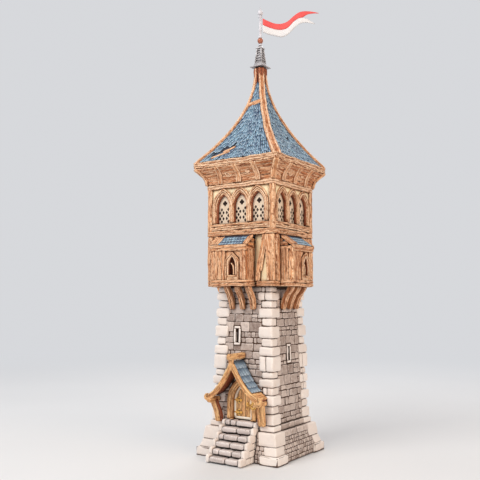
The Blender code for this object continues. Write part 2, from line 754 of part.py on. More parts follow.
def make_bays():
    inner = CORE_HALF + GAP
    eave = CORE_BASE + BAY_EAVE_HEIGHT
    tuck_out = max(UPPER_HALF, CORE_HALF + BAY_WALL) + GAP
    tuck = UPPER_BASE - GAP - BAY_ROOF_THICKNESS - GAP
    side_outline = [(inner, CORE_BASE), (BAY_OUT, CORE_BASE), (BAY_OUT, eave), (tuck_out, tuck), (inner, tuck)]
    room_floor = CORE_BASE + BAY_WALL
    wall_inner = BAY_OUT - BAY_WALL
    room = block(BAY_LEFT + BAY_WALL, BAY_RIGHT - BAY_WALL, 0.0, wall_inner, room_floor, ARCADE_BASE)
    trim = BAY_OUT + BAY_TRIM_PROUD
    pitch = (tuck - eave) / (BAY_OUT - tuck_out)
    lintel_base = eave - BAY_LINTEL_HEIGHT
    lintel_top = eave - pitch * BAY_TRIM_PROUD
    beam_top = CORE_BASE + BAY_BEAM_HEIGHT
    # The trims stop a little inside the boards that they are fused to.
    root = BAY_OUT - BAY_WALL / 2
    rails = [
        block(BAY_LEFT, BAY_RIGHT, root, trim, CORE_BASE, beam_top),
        block(BAY_LEFT, BAY_RIGHT, root, trim, lintel_base, lintel_top),
    ]
    lap = BAY_TRIM_PROUD / 2
    uprights = [
        block(left, left + BAY_POST_WIDTH, root, trim - lap, beam_top - lap, lintel_base + lap)
        for left in (BAY_LEFT, BAY_RIGHT - BAY_POST_WIDTH)
    ]
    peak = lintel_base + lap
    shoulder = peak - WINDOW_GABLE
    surround = [
        (-WINDOW_HALF_WIDTH, beam_top - lap), (WINDOW_HALF_WIDTH, beam_top - lap), (WINDOW_HALF_WIDTH, shoulder),
        (0.0, peak), (-WINDOW_HALF_WIDTH, shoulder),
    ]
    uprights.append(out_of(surround, root, BAY_OUT + WINDOW_PROUD))
    light = arch(LIGHT_HALF_WIDTH, CORE_BASE + LIGHT_SILL, CORE_BASE + LIGHT_SPRING, LIGHT_RISE)
    last = BAY_RIGHT - BRACKET_INSET - BRACKET_WIDTH / 2
    brackets = [bay_bracket(last - BRACKET_SPACING * n) for n in range(BRACKET_COUNT)]
    adds = [joined(rails), joined(uprights), joined(brackets)]
    cuts = [room, out_of(light, 0.0, 2 * BAY_OUT)]
    drop = eave - pitch * BAY_ROOF_LAP
    thick = BAY_ROOF_THICKNESS
    roof_outline = [
        (BAY_OUT + BAY_ROOF_LAP, drop + GAP), (BAY_OUT + BAY_ROOF_LAP, drop + thick + GAP),
        (tuck_out, tuck + thick + GAP), (inner, tuck + thick + GAP), (inner, tuck + GAP), (tuck_out, tuck + GAP),
    ]
    for side, name in enumerate(SIDES):
        piece(name + "_bay", across(side_outline, BAY_LEFT, BAY_RIGHT), "timber", adds, cuts, side)
        roof = across(roof_outline, BAY_LEFT - BAY_ROOF_LAP, BAY_RIGHT + BAY_ROOF_LAP)
        piece(name + "_bay_roof", roof, "slate", side=side)


def make_upper_frame():
    floor_half = UPPER_HALF - UPPER_WALL - GAP
    floor_top = UPPER_BASE + FLOOR_THICKNESS
    piece("upper_floor", square_stack([(floor_half, UPPER_BASE), (floor_half, floor_top)]), "timber")
    inner = UPPER_HALF - UPPER_WALL
    third = SILL_HEIGHT / 3
    sill = square_ring([
        (inner, UPPER_BASE), (UPPER_HALF, UPPER_BASE), (UPPER_HALF, UPPER_BASE + third),
        (UPPER_HALF - SILL_BAND, UPPER_BASE + third), (UPPER_HALF - SILL_BAND, UPPER_BASE + 2 * third),
        (UPPER_HALF, UPPER_BASE + 2 * third), (UPPER_HALF, SILL_TOP), (inner, SILL_TOP),
    ])
    plate = square_ring([
        (inner, PLATE_BASE), (UPPER_HALF, PLATE_BASE), (UPPER_HALF + SILL_BAND, PLATE_BASE + PLATE_HEIGHT / 2),
        (UPPER_HALF, PLATE_TOP), (inner, PLATE_TOP),
    ])
    post_inner = UPPER_HALF - UPPER_POST
    lap = PLATE_HEIGHT / 2
    posts = [
        block(left, left + UPPER_POST, near, near + UPPER_POST, SILL_TOP - lap, PLATE_BASE + lap)
        for left in (-UPPER_HALF, post_inner)
        for near in (-UPPER_HALF, post_inner)
    ]
    piece("upper_frame", sill, "timber", adds=[joined(posts), plate])


def make_arcades():
    half = UPPER_HALF - UPPER_POST - GAP
    inner = ARCADE_FACE - ARCADE_THICKNESS
    spring = ARCADE_BASE + ARCH_SPRING
    board = block(-half, half, inner, ARCADE_FACE, ARCADE_BASE, ARCADE_TOP)
    rims, lights, holes = [], [], []
    for number in (-1, 0, 1):
        middle = ARCH_PITCH * number
        rim = arch(ARCH_HALF_WIDTH + MOULDING_WIDTH, ARCADE_BASE, spring, ARCH_RISE + MOULDING_WIDTH)
        rims.append(out_of(shifted(rim, middle), ARCADE_FACE - MOULDING_PROUD, ARCADE_FACE + MOULDING_PROUD))
        light = arch(ARCH_HALF_WIDTH, ARCADE_BASE - GAP, spring, ARCH_RISE)
        lights.append(out_of(shifted(light, middle), 0.0, 2 * UPPER_HALF))
        holes += lattice_holes(middle)
    panel_back = inner - GAP - PANEL_THICKNESS
    panel_half = min(half, panel_back - GAP)
    panel = block(-panel_half, panel_half, panel_back, inner - GAP, ARCADE_BASE, ARCADE_TOP)
    for side, name in enumerate(SIDES):
        piece(name + "_arcade", board, "timber", adds=[joined(rims)], cuts=[joined(lights)], side=side)
        piece(name + "_pierced_panel", panel, "screen", cuts=[joined(holes)], side=side)


def lattice_holes(middle):
    """A quatrefoil over staggered rows of upright diamonds."""
    outlines = [quatrefoil(middle, ARCADE_BASE + QUATREFOIL_HEIGHT)]
    for row in range(LATTICE_ROWS):
        level = ARCADE_BASE + LATTICE_TOP - LATTICE_PITCH * row
        places = (-1, 1) if row % 2 == 0 else (-1.5, -0.5, 0.5, 1.5)
        for place in places:
            at = middle + LATTICE_SPREAD * place
            outlines.append([
                (at - DIAMOND_HALF_WIDTH, level), (at, level - DIAMOND_HALF_HEIGHT),
                (at + DIAMOND_HALF_WIDTH, level), (at, level + DIAMOND_HALF_HEIGHT),
            ])
    return [out_of(outline, 0.0, 2 * UPPER_HALF) for outline in outlines]


def quatrefoil(middle, level):
    """Four round lobes about a middle, as one outline."""
    points = []
    for lobe in range(4):
        facing = lobe * math.pi / 2
        for step in (-2, -1, 0, 1, 2):
            angle = facing + step * math.pi / 5
            a = QUATREFOIL_REACH * math.cos(facing) + QUATREFOIL_LOBE * math.cos(angle)
            up = QUATREFOIL_REACH * math.sin(facing) + QUATREFOIL_LOBE * math.sin(angle)
            points.append((middle + a, level + up))
    return points


def cove_line(offset):
    """The cove's section as (out, up) points: upright at the plate and sweeping out to the eave."""
    foot = UPPER_HALF + offset
    head = COVE_HEAD_HALF + offset / 2
    lean, pull = (foot, COVE_BASE + COVE_HEIGHT / 2), (head - COVE_SWEEP, COVE_TOP - COVE_SWEEP)
    return curve((foot, COVE_BASE), lean, pull, (head, COVE_TOP), steps=5)


def make_eaves():
    shell = square_ring(cove_line(0.0) + cove_line(-2 * COVE_THICKNESS)[::-1])
    outline = cove_line(RIB_PROUD) + cove_line(-COVE_THICKNESS)[::-1]
    ribs = [
        turned(across(outline, RIB_PITCH * number - RIB_WIDTH / 2, RIB_PITCH * number + RIB_WIDTH / 2), 90 * side)
        for side in range(4)
        for number in (-1, 0, 1)
    ]
    diagonal = math.sqrt(2)
    hip_line = [(out * diagonal, up) for out, up in cove_line(0.0) + cove_line(-COVE_THICKNESS)[::-1]]
    hip_rib = across(hip_line, -CORNER_RIB_WIDTH / 2, CORNER_RIB_WIDTH / 2)
    hip_ribs = [turned(hip_rib, 45 + 90 * side) for side in range(4)]
    piece("eaves_cove", shell, "timber", adds=[joined(ribs), joined(hip_ribs)])
    inner = EAVE_HALF - EAVE_BEAM_WIDTH
    beams = square_ring([(inner, EAVE_BASE), (EAVE_HALF, EAVE_BASE), (EAVE_HALF, EAVE_TOP), (inner, EAVE_TOP)])
    piece("eave_beams", beams, "timber")


def roof_half(level):
    """Half the roof's width at a level: it sweeps in fast above the eaves and then rises steeply."""
    share = min(max((level - ROOF_BASE) / ROOF_HEIGHT, 0.0), 1.0)
    return ROOF_HEAD_HALF + (ROOF_FOOT_HALF - ROOF_HEAD_HALF) * (1 - share) ** ROOF_CURVE


def roof_levels():
    return [ROOF_BASE + ROOF_HEIGHT * i / ROOF_LEVELS for i in range(ROOF_LEVELS + 1)]


def chamfered(half, cut, level):
    """A square with its corners cut back, where the hip beams lie."""
    near = half - cut
    ring = []
    for x, y in ((1, 1), (-1, 1), (-1, -1), (1, -1)):
        first, second = (x * half, y * near, level), (x * near, y * half, level)
        ring += [first, second] if x * y > 0 else [second, first]
    return ring


def hip_width(level):
    """The width of a hip beam at a level: it narrows towards the crown."""
    share = min((level - ROOF_BASE) / ROOF_HEIGHT, 1.0)
    return HIP_FOOT_WIDTH + (HIP_HEAD_WIDTH - HIP_FOOT_WIDTH) * share


def make_roof():
    outer, inner = [], []
    for level in roof_levels():
        half = roof_half(level)
        cut = hip_width(level) / math.sqrt(2)
        outer.append(chamfered(half, cut, level))
        if half - ROOF_THICKNESS > 2 * cut:
            inner.append(chamfered(half - ROOF_THICKNESS, cut, level))
    piece("roof", loft(inner[::-1] + outer), "slate")
    crown = square_stack([(CROWN_HALF, CROWN_BASE), (CROWN_HALF, CROWN_BASE + CROWN_HEIGHT)])
    beams = [turned(hip_beam(), 45 + 90 * side) for side in range(4)]
    piece("hip_beams", crown, "timber", adds=[joined(beams)])


def hip_beam():
    """One beam from the eave up a hip to the crown, lying on the roof's cut corner."""
    rings = []
    for level in roof_levels() + [CROWN_BASE + CROWN_HEIGHT / 2]:
        half = hip_width(level) / 2
        bed = roof_half(level) * math.sqrt(2) - half + GAP
        back = bed + HIP_DEPTH
        rings.append([(-half, bed, level), (half, bed, level), (half, back, level), (-half, back, level)])
    return loft(rings)


def make_lantern():
    body_base = LANTERN_BASE + SKIRT_HEIGHT
    body_top = body_base + LANTERN_HEIGHT
    skirt_middle = (SKIRT_HALF + LANTERN_FOOT_HALF) / 2 - SKIRT_SAG
    levels = [
        (SKIRT_HALF, LANTERN_BASE), (SKIRT_HALF, LANTERN_BASE + SKIRT_EDGE),
        (skirt_middle, LANTERN_BASE + SKIRT_HEIGHT / 2), (LANTERN_FOOT_HALF, body_base),
        (LANTERN_HEAD_HALF, body_top), (CAP_HALF, body_top), (CAP_HALF, body_top + SKIRT_EDGE),
        (POLE_RADIUS, LANTERN_TOP),
    ]
    louvres = []
    pitch = LANTERN_HEIGHT / (LOUVRE_COUNT + LOUVRE_MARGIN)
    for number in range(LOUVRE_COUNT):
        rise = pitch * (number + (1 + LOUVRE_MARGIN) / 2)
        face = LANTERN_FOOT_HALF + (LANTERN_HEAD_HALF - LANTERN_FOOT_HALF) * rise / LANTERN_HEIGHT
        width = face * LOUVRE_SHARE
        low = body_base + rise - LOUVRE_HEIGHT / 2
        slot = block(-width, width, face - LOUVRE_DEPTH, SKIRT_HALF, low, low + LOUVRE_HEIGHT)
        louvres += [turned(slot, 90 * side) for side in range(4)]
    piece("lantern", square_stack(levels), "pewter", cuts=[joined(louvres)])


def turned_profile(profile, count=14):
    """A round solid from (radius, level) pairs."""
    rings = []
    for radius, level in profile:
        angles = [2 * math.pi * i / count for i in range(count)]
        rings.append([(radius * math.cos(angle), radius * math.sin(angle), level) for angle in angles])
    return loft(rings)


def ball_profile(radius, centre, neck, steps=6):
    """The (radius, level) pairs of a ball between two necks."""
    start = math.acos(neck / radius)
    angles = [start * (2 * i / steps - 1) for i in range(steps + 1)]
    return [(radius * math.cos(angle), centre + radius * math.sin(angle)) for angle in angles]


def make_finial():
    """The turned pole over the lantern. It returns the level of the pennon's middle."""
    ball_centre = FINIAL_BASE + NECK_HEIGHT + BALL_RADIUS
    pole_base = ball_centre + BALL_RADIUS
    pole_top = pole_base + POLE_HEIGHT
    ring = pole_base + RING_HEIGHT
    top_centre = pole_top + COLLAR_HEIGHT + TOP_BALL_RADIUS
    profile = [(POLE_RADIUS, FINIAL_BASE)] + ball_profile(BALL_RADIUS, ball_centre, POLE_RADIUS)
    profile += [(COLLAR_RADIUS, pole_base), (COLLAR_RADIUS, pole_base + COLLAR_HEIGHT / 2)]
    profile += [(POLE_RADIUS, pole_base + COLLAR_HEIGHT), (POLE_RADIUS, ring - RING_PROUD)]
    profile += [(POLE_RADIUS + RING_PROUD, ring), (POLE_RADIUS, ring + RING_PROUD), (POLE_RADIUS, pole_top)]
    profile += [(COLLAR_RADIUS, pole_top + rise) for rise in (COLLAR_BEVEL, COLLAR_HEIGHT - COLLAR_BEVEL)]
    profile += ball_profile(TOP_BALL_RADIUS, top_centre, POLE_RADIUS)
    profile += [(TIP_RADIUS, top_centre + TOP_BALL_RADIUS + TIP_HEIGHT)]
    piece("finial_pole", turned_profile(profile), "pewter")
    return pole_top - COLLAR_HEIGHT - PENNON_HALF_HOIST


def pennon_slice(along, *levels):
    """One upright slice of the pennon: its levels on the near face, and the same back on the far face."""
    wave = PENNON_WAVE * math.sin(2 * math.pi * along / UPPER_TAIL_REACH)
    near, far = wave - PENNON_THICKNESS / 2, wave + PENNON_THICKNESS / 2
    return [(along, near, level) for level in levels] + [(along, far, level) for level in reversed(levels)]


def make_pennon(middle):
    """A swallow-tailed pennon: it dips from the hoist, lifts to the fork and parts into two tails."""
    half = PENNON_HALF_HOIST
    hoist = COLLAR_RADIUS + GAP
    fork = middle + PENNON_LIFT
    lean, pull = (PENNON_LEAN, middle - PENNON_DIP), (PENNON_PULL, middle - PENNON_PULL_DIP)
    spine = curve((hoist, middle), lean, pull, (PENNON_FORK, fork), steps=9)
    body = loft([pennon_slice(along, up - half, up, up + half) for along, up in spine], caps=(True, False))
    tails = []
    for reach, lift, low, high in (
        (UPPER_TAIL_REACH, UPPER_TAIL_LIFT, fork, fork + half),
        (LOWER_TAIL_REACH, LOWER_TAIL_LIFT, fork - half, fork),
    ):
        slices = []
        steps = 4
        for i in range(steps + 1):
            t = i / steps
            along = PENNON_FORK + (reach - PENNON_FORK) * t
            tip = middle + lift
            bottom = low + (tip - TAIL_TIP_HALF - low) * t
            top = high + (tip + TAIL_TIP_HALF - high) * t
            slices.append(pennon_slice(along, bottom, top))
        tails.append(loft(slices, caps=(False, True)))
    piece("pennon", turned(joined([body] + tails), PENNON_ANGLE), "pennon")


def main():
    clear_scene()
    make_plinth()
    make_steps()
    make_ground_floor()
    make_shaft_walls()
    make_quoins()
    make_door()
    make_porch()
    make_core()
    make_bays()
    make_upper_frame()
    make_arcades()
    make_eaves()
    make_roof()
    make_lantern()
    make_pennon(make_finial())


main()
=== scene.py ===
# %% [markdown]
# # A painted tabletop watchtower
# The model is a printed and hand painted tower for tabletop games, 450 mm high with its pennon pole.
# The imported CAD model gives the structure. This script dresses it: stones, timbers, slates and paint.
# Sizes are in millimetres, and MM turns them into Blender's metres.

# %% Load the frame
import bpy
import math
import random
import numpy as np
from functools import lru_cache
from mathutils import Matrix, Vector, noise
from mathutils.geometry import tessellate_polygon


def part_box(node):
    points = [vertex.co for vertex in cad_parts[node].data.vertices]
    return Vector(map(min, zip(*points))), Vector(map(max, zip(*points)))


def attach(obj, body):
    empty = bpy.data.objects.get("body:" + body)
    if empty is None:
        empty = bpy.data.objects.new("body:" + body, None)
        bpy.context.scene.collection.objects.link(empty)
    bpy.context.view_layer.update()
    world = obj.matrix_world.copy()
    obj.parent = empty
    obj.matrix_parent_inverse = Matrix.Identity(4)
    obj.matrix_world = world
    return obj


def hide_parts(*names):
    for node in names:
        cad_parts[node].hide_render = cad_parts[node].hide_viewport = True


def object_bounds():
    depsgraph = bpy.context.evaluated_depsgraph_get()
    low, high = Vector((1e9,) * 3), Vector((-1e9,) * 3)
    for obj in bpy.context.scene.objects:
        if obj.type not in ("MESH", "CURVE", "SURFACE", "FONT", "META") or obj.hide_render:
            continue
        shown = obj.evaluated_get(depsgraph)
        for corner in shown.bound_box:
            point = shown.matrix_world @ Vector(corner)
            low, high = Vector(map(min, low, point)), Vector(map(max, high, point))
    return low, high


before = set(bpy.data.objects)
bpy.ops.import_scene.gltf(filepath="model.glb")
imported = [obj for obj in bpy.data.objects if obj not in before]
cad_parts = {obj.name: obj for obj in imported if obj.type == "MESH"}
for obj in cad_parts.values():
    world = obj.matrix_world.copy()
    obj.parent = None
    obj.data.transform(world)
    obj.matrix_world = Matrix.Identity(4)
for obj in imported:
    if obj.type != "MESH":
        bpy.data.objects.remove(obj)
cad_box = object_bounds()
# Vector noise starts at a new place on each run unless it is given a seed.
noise.seed_set(7)
MM = 0.001
SIDES = ("front", "right", "back", "left")
CORNERS = ("front_right", "back_right", "back_left", "front_left")
print("solids in the frame:", len(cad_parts))

# %% [markdown]
# Every side of the tower is drawn once, in a flat way: across runs to the right as that side is seen,
# out is the distance from the tower's axis and up is the height. One helper turns such points to
# their side of the tower, so that four sides cost no more code than one.


# %% A point on a side becomes a point in space
def placed(points, side=0):
    """(across, out, up) in mm, carried round to a side and turned into metres."""
    a, out, up = np.asarray(points, float).T
    cos, sin = ((1, 0), (0, 1), (-1, 0), (0, -1))[side % 4]
    return np.stack([cos * a + sin * out, sin * a - cos * out, up], axis=1) * MM


def levels(node):
    """The lowest and highest level of a solid of the frame, in mm."""
    low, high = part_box(node)
    return low.z / MM, high.z / MM


def on_each_side(build, *heaps):
    """Build one thing on all four sides, and say how many shapes its first heap then holds."""
    for side in range(4):
        build(*heaps, side)
    print(f"{build.__name__}: {len(heaps[0].points)} shapes")


print("the shaft stands between", levels("back_wall"))

# %% [markdown]
# Hundreds of stones and timbers are gathered into a few meshes. Each vertex carries three numbers
# for the paint: a tint that differs from stone to stone, an edge mask for dry brushing, and a
# recess mask for the dark wash, which is partly painted shade. It also carries a grain coordinate
# that runs along its timber.

# %% A heap gathers closed shapes into one mesh
BOX_LOW, BOX_HIGH = (np.array(corner) for corner in cad_box)


def volume_of(points, faces):
    """Six times the volume inside the faces, which is negative where they face inwards."""
    a, b, c, d = (points[faces[:, k]] for k in range(4))
    d = np.where(faces[:, 3:] < 0, a, d)
    return np.einsum("ij,ij", np.cross(a, b), c) + np.einsum("ij,ij", np.cross(a, c), d)


class Heap:
    """Shapes gathered for one mesh. Nothing may reach out of the box that the frame fills."""

    def __init__(self):
        self.points, self.faces, self.marks, self.grain = [], [], [], []
        self.size = 0

    def add(self, points, faces, side=0, tint=0.5, edge=0.0, recess=0.0, grain=None):
        """Add a closed shape. A row of faces that ends in -1 is a triangle."""
        marks = np.zeros((len(points), 3))
        marks[:, 0], marks[:, 1], marks[:, 2] = tint, edge, recess
        world = np.clip(placed(points, side), BOX_LOW, BOX_HIGH)
        faces = np.asarray(faces)
        if volume_of(world, faces) < 0:
            faces = faces[:, ::-1]
        self.points.append(world)
        self.faces.append(np.where(faces >= 0, faces + self.size, -1))
        self.marks.append(marks)
        self.grain.append(np.asarray(points if grain is None else grain, float))
        self.size += len(points)

    def piece(self, name, paint, slot, body, replaces):
        """Make the mesh, hang it on its body's empty and hide the solids of the frame that it stands for."""
        rows = [face for block in self.faces for face in block.tolist()]
        mesh = bpy.data.meshes.new(name)
        polygons = [[i for i in face if i >= 0] for face in rows]
        mesh.from_pydata(np.concatenate(self.points).tolist(), [], polygons)
        for attribute, values in (("mark", self.marks), ("grain", self.grain)):
            layer = mesh.attributes.new(attribute, "FLOAT_VECTOR", "POINT")
            layer.data.foreach_set("vector", np.concatenate(values).astype(np.float32).ravel())
        mesh.shade_smooth()
        mesh.materials.append(paint)
        item = bpy.data.objects.new(name, mesh)
        bpy.context.scene.collection.objects.link(item)
        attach(item, body)
        if replaces:
            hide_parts(*replaces)
        print(f"{name}: {len(self.points)} shapes, {len(mesh.polygons)} faces")


print("the box in metres:", BOX_LOW, BOX_HIGH)

# %% [markdown]
# A hewn stone is a box whose edges are rounded and whose faces are a little uneven. The grid of
# points on a box is worked out once for each number of cells and then reused for every stone.


# %% The skin of a box as a grid
@lru_cache(maxsize=None)
def box_skin(cells):
    """Lattice places on the skin of a box of nx, ny, nz cells, and its quads facing out."""
    faces, index = [], {}
    for axis in range(3):
        u, v = (axis + 1) % 3, (axis + 2) % 3
        for end in (0, cells[axis]):
            for i in range(cells[u]):
                for j in range(cells[v]):
                    quad = []
                    for di, dj in ((0, 0), (1, 0), (1, 1), (0, 1)):
                        place = [0, 0, 0]
                        place[axis], place[u], place[v] = end, i + di, j + dj
                        quad.append(index.setdefault(tuple(place), len(index)))
                    faces.append(quad if end else quad[::-1])
    return np.array(list(index)), np.array(faces)


print("faces on a stone's skin:", len(box_skin((4, 4, 4))[1]))

# %% [markdown]
# Real hewn blocks have soft arrises and slightly pillowed faces. Points near an edge are pulled in
# on a small sphere, which rounds all the edges at once, and smooth noise then moves every point.


# %% A hewn stone
def unit(rows):
    """Each row of a table scaled to the length one."""
    return rows / np.linalg.norm(rows, axis=-1, keepdims=True)


def uneven(points, scale, amount, seed):
    """Small smooth moves in every direction, the same on each run."""
    places = (points / scale + (seed * 7.31, seed * 3.17, seed * 1.93)).tolist()
    return np.array([noise.noise_vector(place) for place in places]) * amount


def stone(heap, low, high, side=0, radius=0.9, rough=0.3, middle=2, seed=0, tint=None, shape=None):
    """A rounded block between two (across, out, up) corners; shape may bend it to its wall."""
    low, high = np.minimum(low, high), np.maximum(low, high)
    span = high - low
    rounding = min(radius, 0.45 * span.min())
    lines = [np.concatenate([[0.0], np.linspace(rounding, length - rounding, middle + 1), [length]])
             for length in span]
    places, faces = box_skin(tuple(len(line) - 1 for line in lines))
    flat = np.stack([lines[k][places[:, k]] for k in range(3)], axis=1)
    core = np.clip(flat, rounding, span - rounding)
    away = flat - core
    reach = np.linalg.norm(away, axis=1, keepdims=True)
    points = core + np.where(reach > 0, away / np.maximum(reach, 1e-9), 0) * rounding + low
    points = points + uneven(points, 5.0, rough, seed) + uneven(points, 1.6, rough * 0.35, seed + 5)
    edge = ((np.abs(away) > 0).sum(axis=1) > 1).astype(float)
    own = random.Random(seed).random() if tint is None else tint
    heap.add(shape(points) if shape else points, faces, side, own, edge, grain=points)


print("a move of the first stone:", uneven(np.zeros((1, 3)), 5.0, 1.0, 0)[0])

# %% [markdown]
# Timbers, slates, planks and turned things are all rings of points with a skin between them and a
# fan of triangles over each end, so one helper makes the faces for all of them.


# %% Skinning rings of points
def tube(total, count):
    """Faces for rings of count points. The middles of the two ends are the last two points."""
    row, spot = np.meshgrid(np.arange(total - 1), np.arange(count), indexing="ij")
    here, beside = row * count + spot, row * count + (spot + 1) % count
    faces = [np.stack([here, here + count, beside + count, beside], axis=-1).reshape(-1, 4)]
    for tip, start in enumerate((0, (total - 1) * count)):
        ring = np.arange(start, start + count)
        pair = (np.roll(ring, -1), ring) if tip else (ring, np.roll(ring, -1))
        faces.append(np.stack([*pair, np.full(count, total * count + tip), np.full(count, -1)], axis=1))
    return np.concatenate(faces)


def rings(heap, side, rows, tint=0.5, edge=0.0, recess=0.0, grain=None):
    """A closed shape from equal rings of points."""
    rows = np.asarray(rows, float)
    total, count = rows.shape[:2]
    points = np.concatenate([rows.reshape(-1, 3), rows[[0, -1]].mean(axis=1)])
    heap.add(points, tube(total, count), side, tint, edge, recess, grain)


print("faces of a plain bar:", len(tube(2, 4)))

# %% [markdown]
# A carved timber follows a path. Its section is a rectangle with soft corners, and long wavering
# grooves run along it, because the model's woodwork is carved with a deep, flowing grain. The
# grooves are real geometry, so that they catch the light and hold the wash.

# %% A carved timber along a path
OUTWARDS, SIDEWAYS, UPWARDS = (0, 1, 0), (1, 0, 0), (0, 0, 1)
GROOVE_WIDTH, END_SIZE, GRAIN_STEP = 0.16, 0.82, 13.7


def section_of(width, depth, step):
    """Points round a soft-cornered rectangle, and a mask of its corners."""
    soft = 0.2 * min(width, depth)
    spots, corners = [], []
    ends = np.array(((1, 1), (-1, 1), (-1, -1), (1, -1))) * (width / 2, depth / 2)
    for start, stop in zip(ends, np.roll(ends, -1, axis=0)):
        run = unit(stop - start)
        first, last = start + run * soft, stop - run * soft
        count = max(1, round(np.linalg.norm(last - first) / step))
        for i in range(count + 1):
            spots.append(first + (last - first) * i / count)
            corners.append(1.0 if i in (0, count) else 0.0)
    return np.array(spots), np.array(corners)


def along(path, step):
    """The path again, with points at an even spacing."""
    path = np.asarray(path, float)
    lengths = np.concatenate([[0], np.cumsum(np.linalg.norm(np.diff(path, axis=0), axis=1))])
    at = np.linspace(0, lengths[-1], max(3, round(lengths[-1] / step)) + 1)
    return np.stack([np.interp(at, lengths, path[:, k]) for k in range(3)], axis=1), at


def flow_of(at, offset, seed):
    """A wavering field that is long along the timber and short across it."""
    return np.array([
        noise.noise((s / 11 + seed * 2.1, x / 1.5 + 0.35 * math.sin(s / 5 + seed), y / 1.5))
        for s, row in zip(at.tolist(), offset) for x, y in row.tolist()
    ]).reshape(len(at), -1)


def timber(heap, side, path, width, depth, carve, seed, tint=None, facing=OUTWARDS, taper=(1.0, 1.0), wander=0.25,
           step=1.7, fine=0.85):
    """A timber carved to a depth: its depth is measured along facing, and its width across that."""
    line, at = along(path, step)
    tangent = unit(np.gradient(line, axis=0))
    facing = np.asarray(facing, float)
    deep = unit(facing - (tangent @ facing)[:, None] * tangent)
    wide = np.cross(tangent, deep)
    spots, corners = section_of(width, depth, fine)
    rows, count = len(line), len(spots)
    size = taper[0] + (taper[1] - taper[0]) * at / at[-1]
    size[[0, -1]] *= END_SIZE
    sway = np.array([noise.noise_vector((s / 14 + seed * 3.3, seed * 1.7, 0.5)) for s in at]) * wander
    offset = spots[None] * size[:, None, None] + sway[:, None, :2]
    flow = flow_of(at, offset, seed)
    groove = np.clip(1 - np.abs(flow) / GROOVE_WIDTH, 0, 1)
    outward = unit(spots / (width / 2, depth / 2) / (width, depth))
    offset = offset + outward[None] * (carve * (0.5 * flow - 0.9 * groove))[:, :, None]
    points = line[:, None] + offset[..., :1] * wide[:, None] + offset[..., 1:] * deep[:, None]
    ends = line[[0, -1]] + sway[[0, -1]][:, :1] * wide[[0, -1]]
    grain = np.stack([np.repeat(at, count), *np.tile(spots, (rows, 1)).T], axis=1)
    grain = np.concatenate([grain, [[0, 0, 0], [at[-1], 0, 0]]]) + (seed * GRAIN_STEP, 0, 0)
    own = random.Random(seed + 0.5).random() if tint is None else tint
    edge = np.concatenate([np.tile(corners, rows) * (1 - groove.ravel()), [0, 0]])
    recess = np.concatenate([groove.ravel(), [0.3, 0.3]])
    heap.add(np.concatenate([points.reshape(-1, 3), ends]), tube(rows, count), side, own, edge, recess, grain)


def beam(heap, side, start, end, *sizes, **how):
    """A straight timber between two points."""
    timber(heap, side, [start, end], *sizes, **how)


def wire(heap, side, path, width, depth, facing=OUTWARDS):
    """A plain metal bar along a path."""
    timber(heap, side, path, width, depth, 0.0, 0, None, facing, wander=0.0, step=0.6, fine=0.5)


print("points round a timber 6 mm wide and 5 mm deep:", len(section_of(6, 5, 0.85)[0]))

# %% [markdown]
# Planks and panels are prisms: an outline in a plane, given a thickness, with a softened front
# edge. Curved timbers follow pointed arches, smooth bends and slightly wavy lines.


# %% Prisms and paths
def prism(heap, side, outline, low, high, tint=0.5, seed=0, rough=0.1, inset=0.25):
    """An (across, up) outline between two distances out."""
    flat = np.asarray(outline, float)
    away = flat - flat.mean(axis=0)
    shrink = 1 - inset / np.maximum(np.linalg.norm(away, axis=1, keepdims=True), inset)
    front = flat.mean(axis=0) + away * shrink
    rows = np.array([np.stack([plane[:, 0], np.full(len(plane), out), plane[:, 1]], axis=1)
                     for plane, out in ((flat, low), (flat, high - inset), (front, high))])
    rows += uneven(rows.reshape(-1, 3), 4.0, rough, seed).reshape(rows.shape)
    every = np.concatenate([rows.reshape(-1, 3), rows[[0, -1]].mean(axis=1)])
    edge = np.concatenate([np.zeros(len(flat)), np.ones(2 * len(flat)), [0, 0]])
    rings(heap, side, rows, tint, edge, grain=every[:, [2, 0, 1]] + seed * GRAIN_STEP)


def block(left, right, low, high):
    """The (across, up) outline of a rectangle."""
    return [(left, low), (right, low), (right, high), (left, high)]


def arch_line(half, foot, spring, rise, middle=0.0):
    """A pointed arch from its left foot over the point to its right foot, as (across, up)."""
    radius = (half * half + rise * rise) / (2 * half)
    reach = math.asin(rise / radius)
    angles = [reach * i / 9 for i in range(10)]
    right = [(half - radius + radius * math.cos(a), spring + radius * math.sin(a)) for a in angles]
    line = [(-half, foot)] + [(-a, up) for a, up in right] + right[-2::-1] + [(half, foot)]
    return [(middle + a, up) for a, up in line]


def under_arch(a, half, rise, spring):
    """The height of a pointed arch at a distance from its middle."""
    radius = (half * half + rise * rise) / (2 * half)
    return spring + math.sqrt(max(radius**2 - (abs(a) + radius - half) ** 2, 0.0))


def bent(points):
    """A smooth path through a few points."""
    points = np.asarray(points, float)
    at = np.linspace(0, 1, len(points))
    fine = np.linspace(0, 1, 4 * len(points))
    line = np.stack([np.interp(fine, at, points[:, k]) for k in range(3)], axis=1)
    for _ in range(3):
        line[1:-1] = (line[:-2] + 2 * line[1:-1] + line[2:]) / 4
    return line


def wavy(first, last, out, up, lift, seed, count=14):
    """A rail's path that rises and dips a little as carved wood does."""
    return [(a, out, up + lift * noise.noise((a / 13.0, seed * 1.7, 0.3)))
            for a in (first + (last - first) * t for t in np.linspace(0, 1, count))]


def at_out(line, out):
    """(across, up) points at a distance out."""
    return [(a, out, up) for a, up in line]


print("points on an arch:", len(arch_line(8, 0, 15, 12)))

# %% [markdown]
# The shaft tapers, so its courses are laid in a frame that follows the wall: out is counted from
# the wall's face, and the face's own distance is added last, level by level.

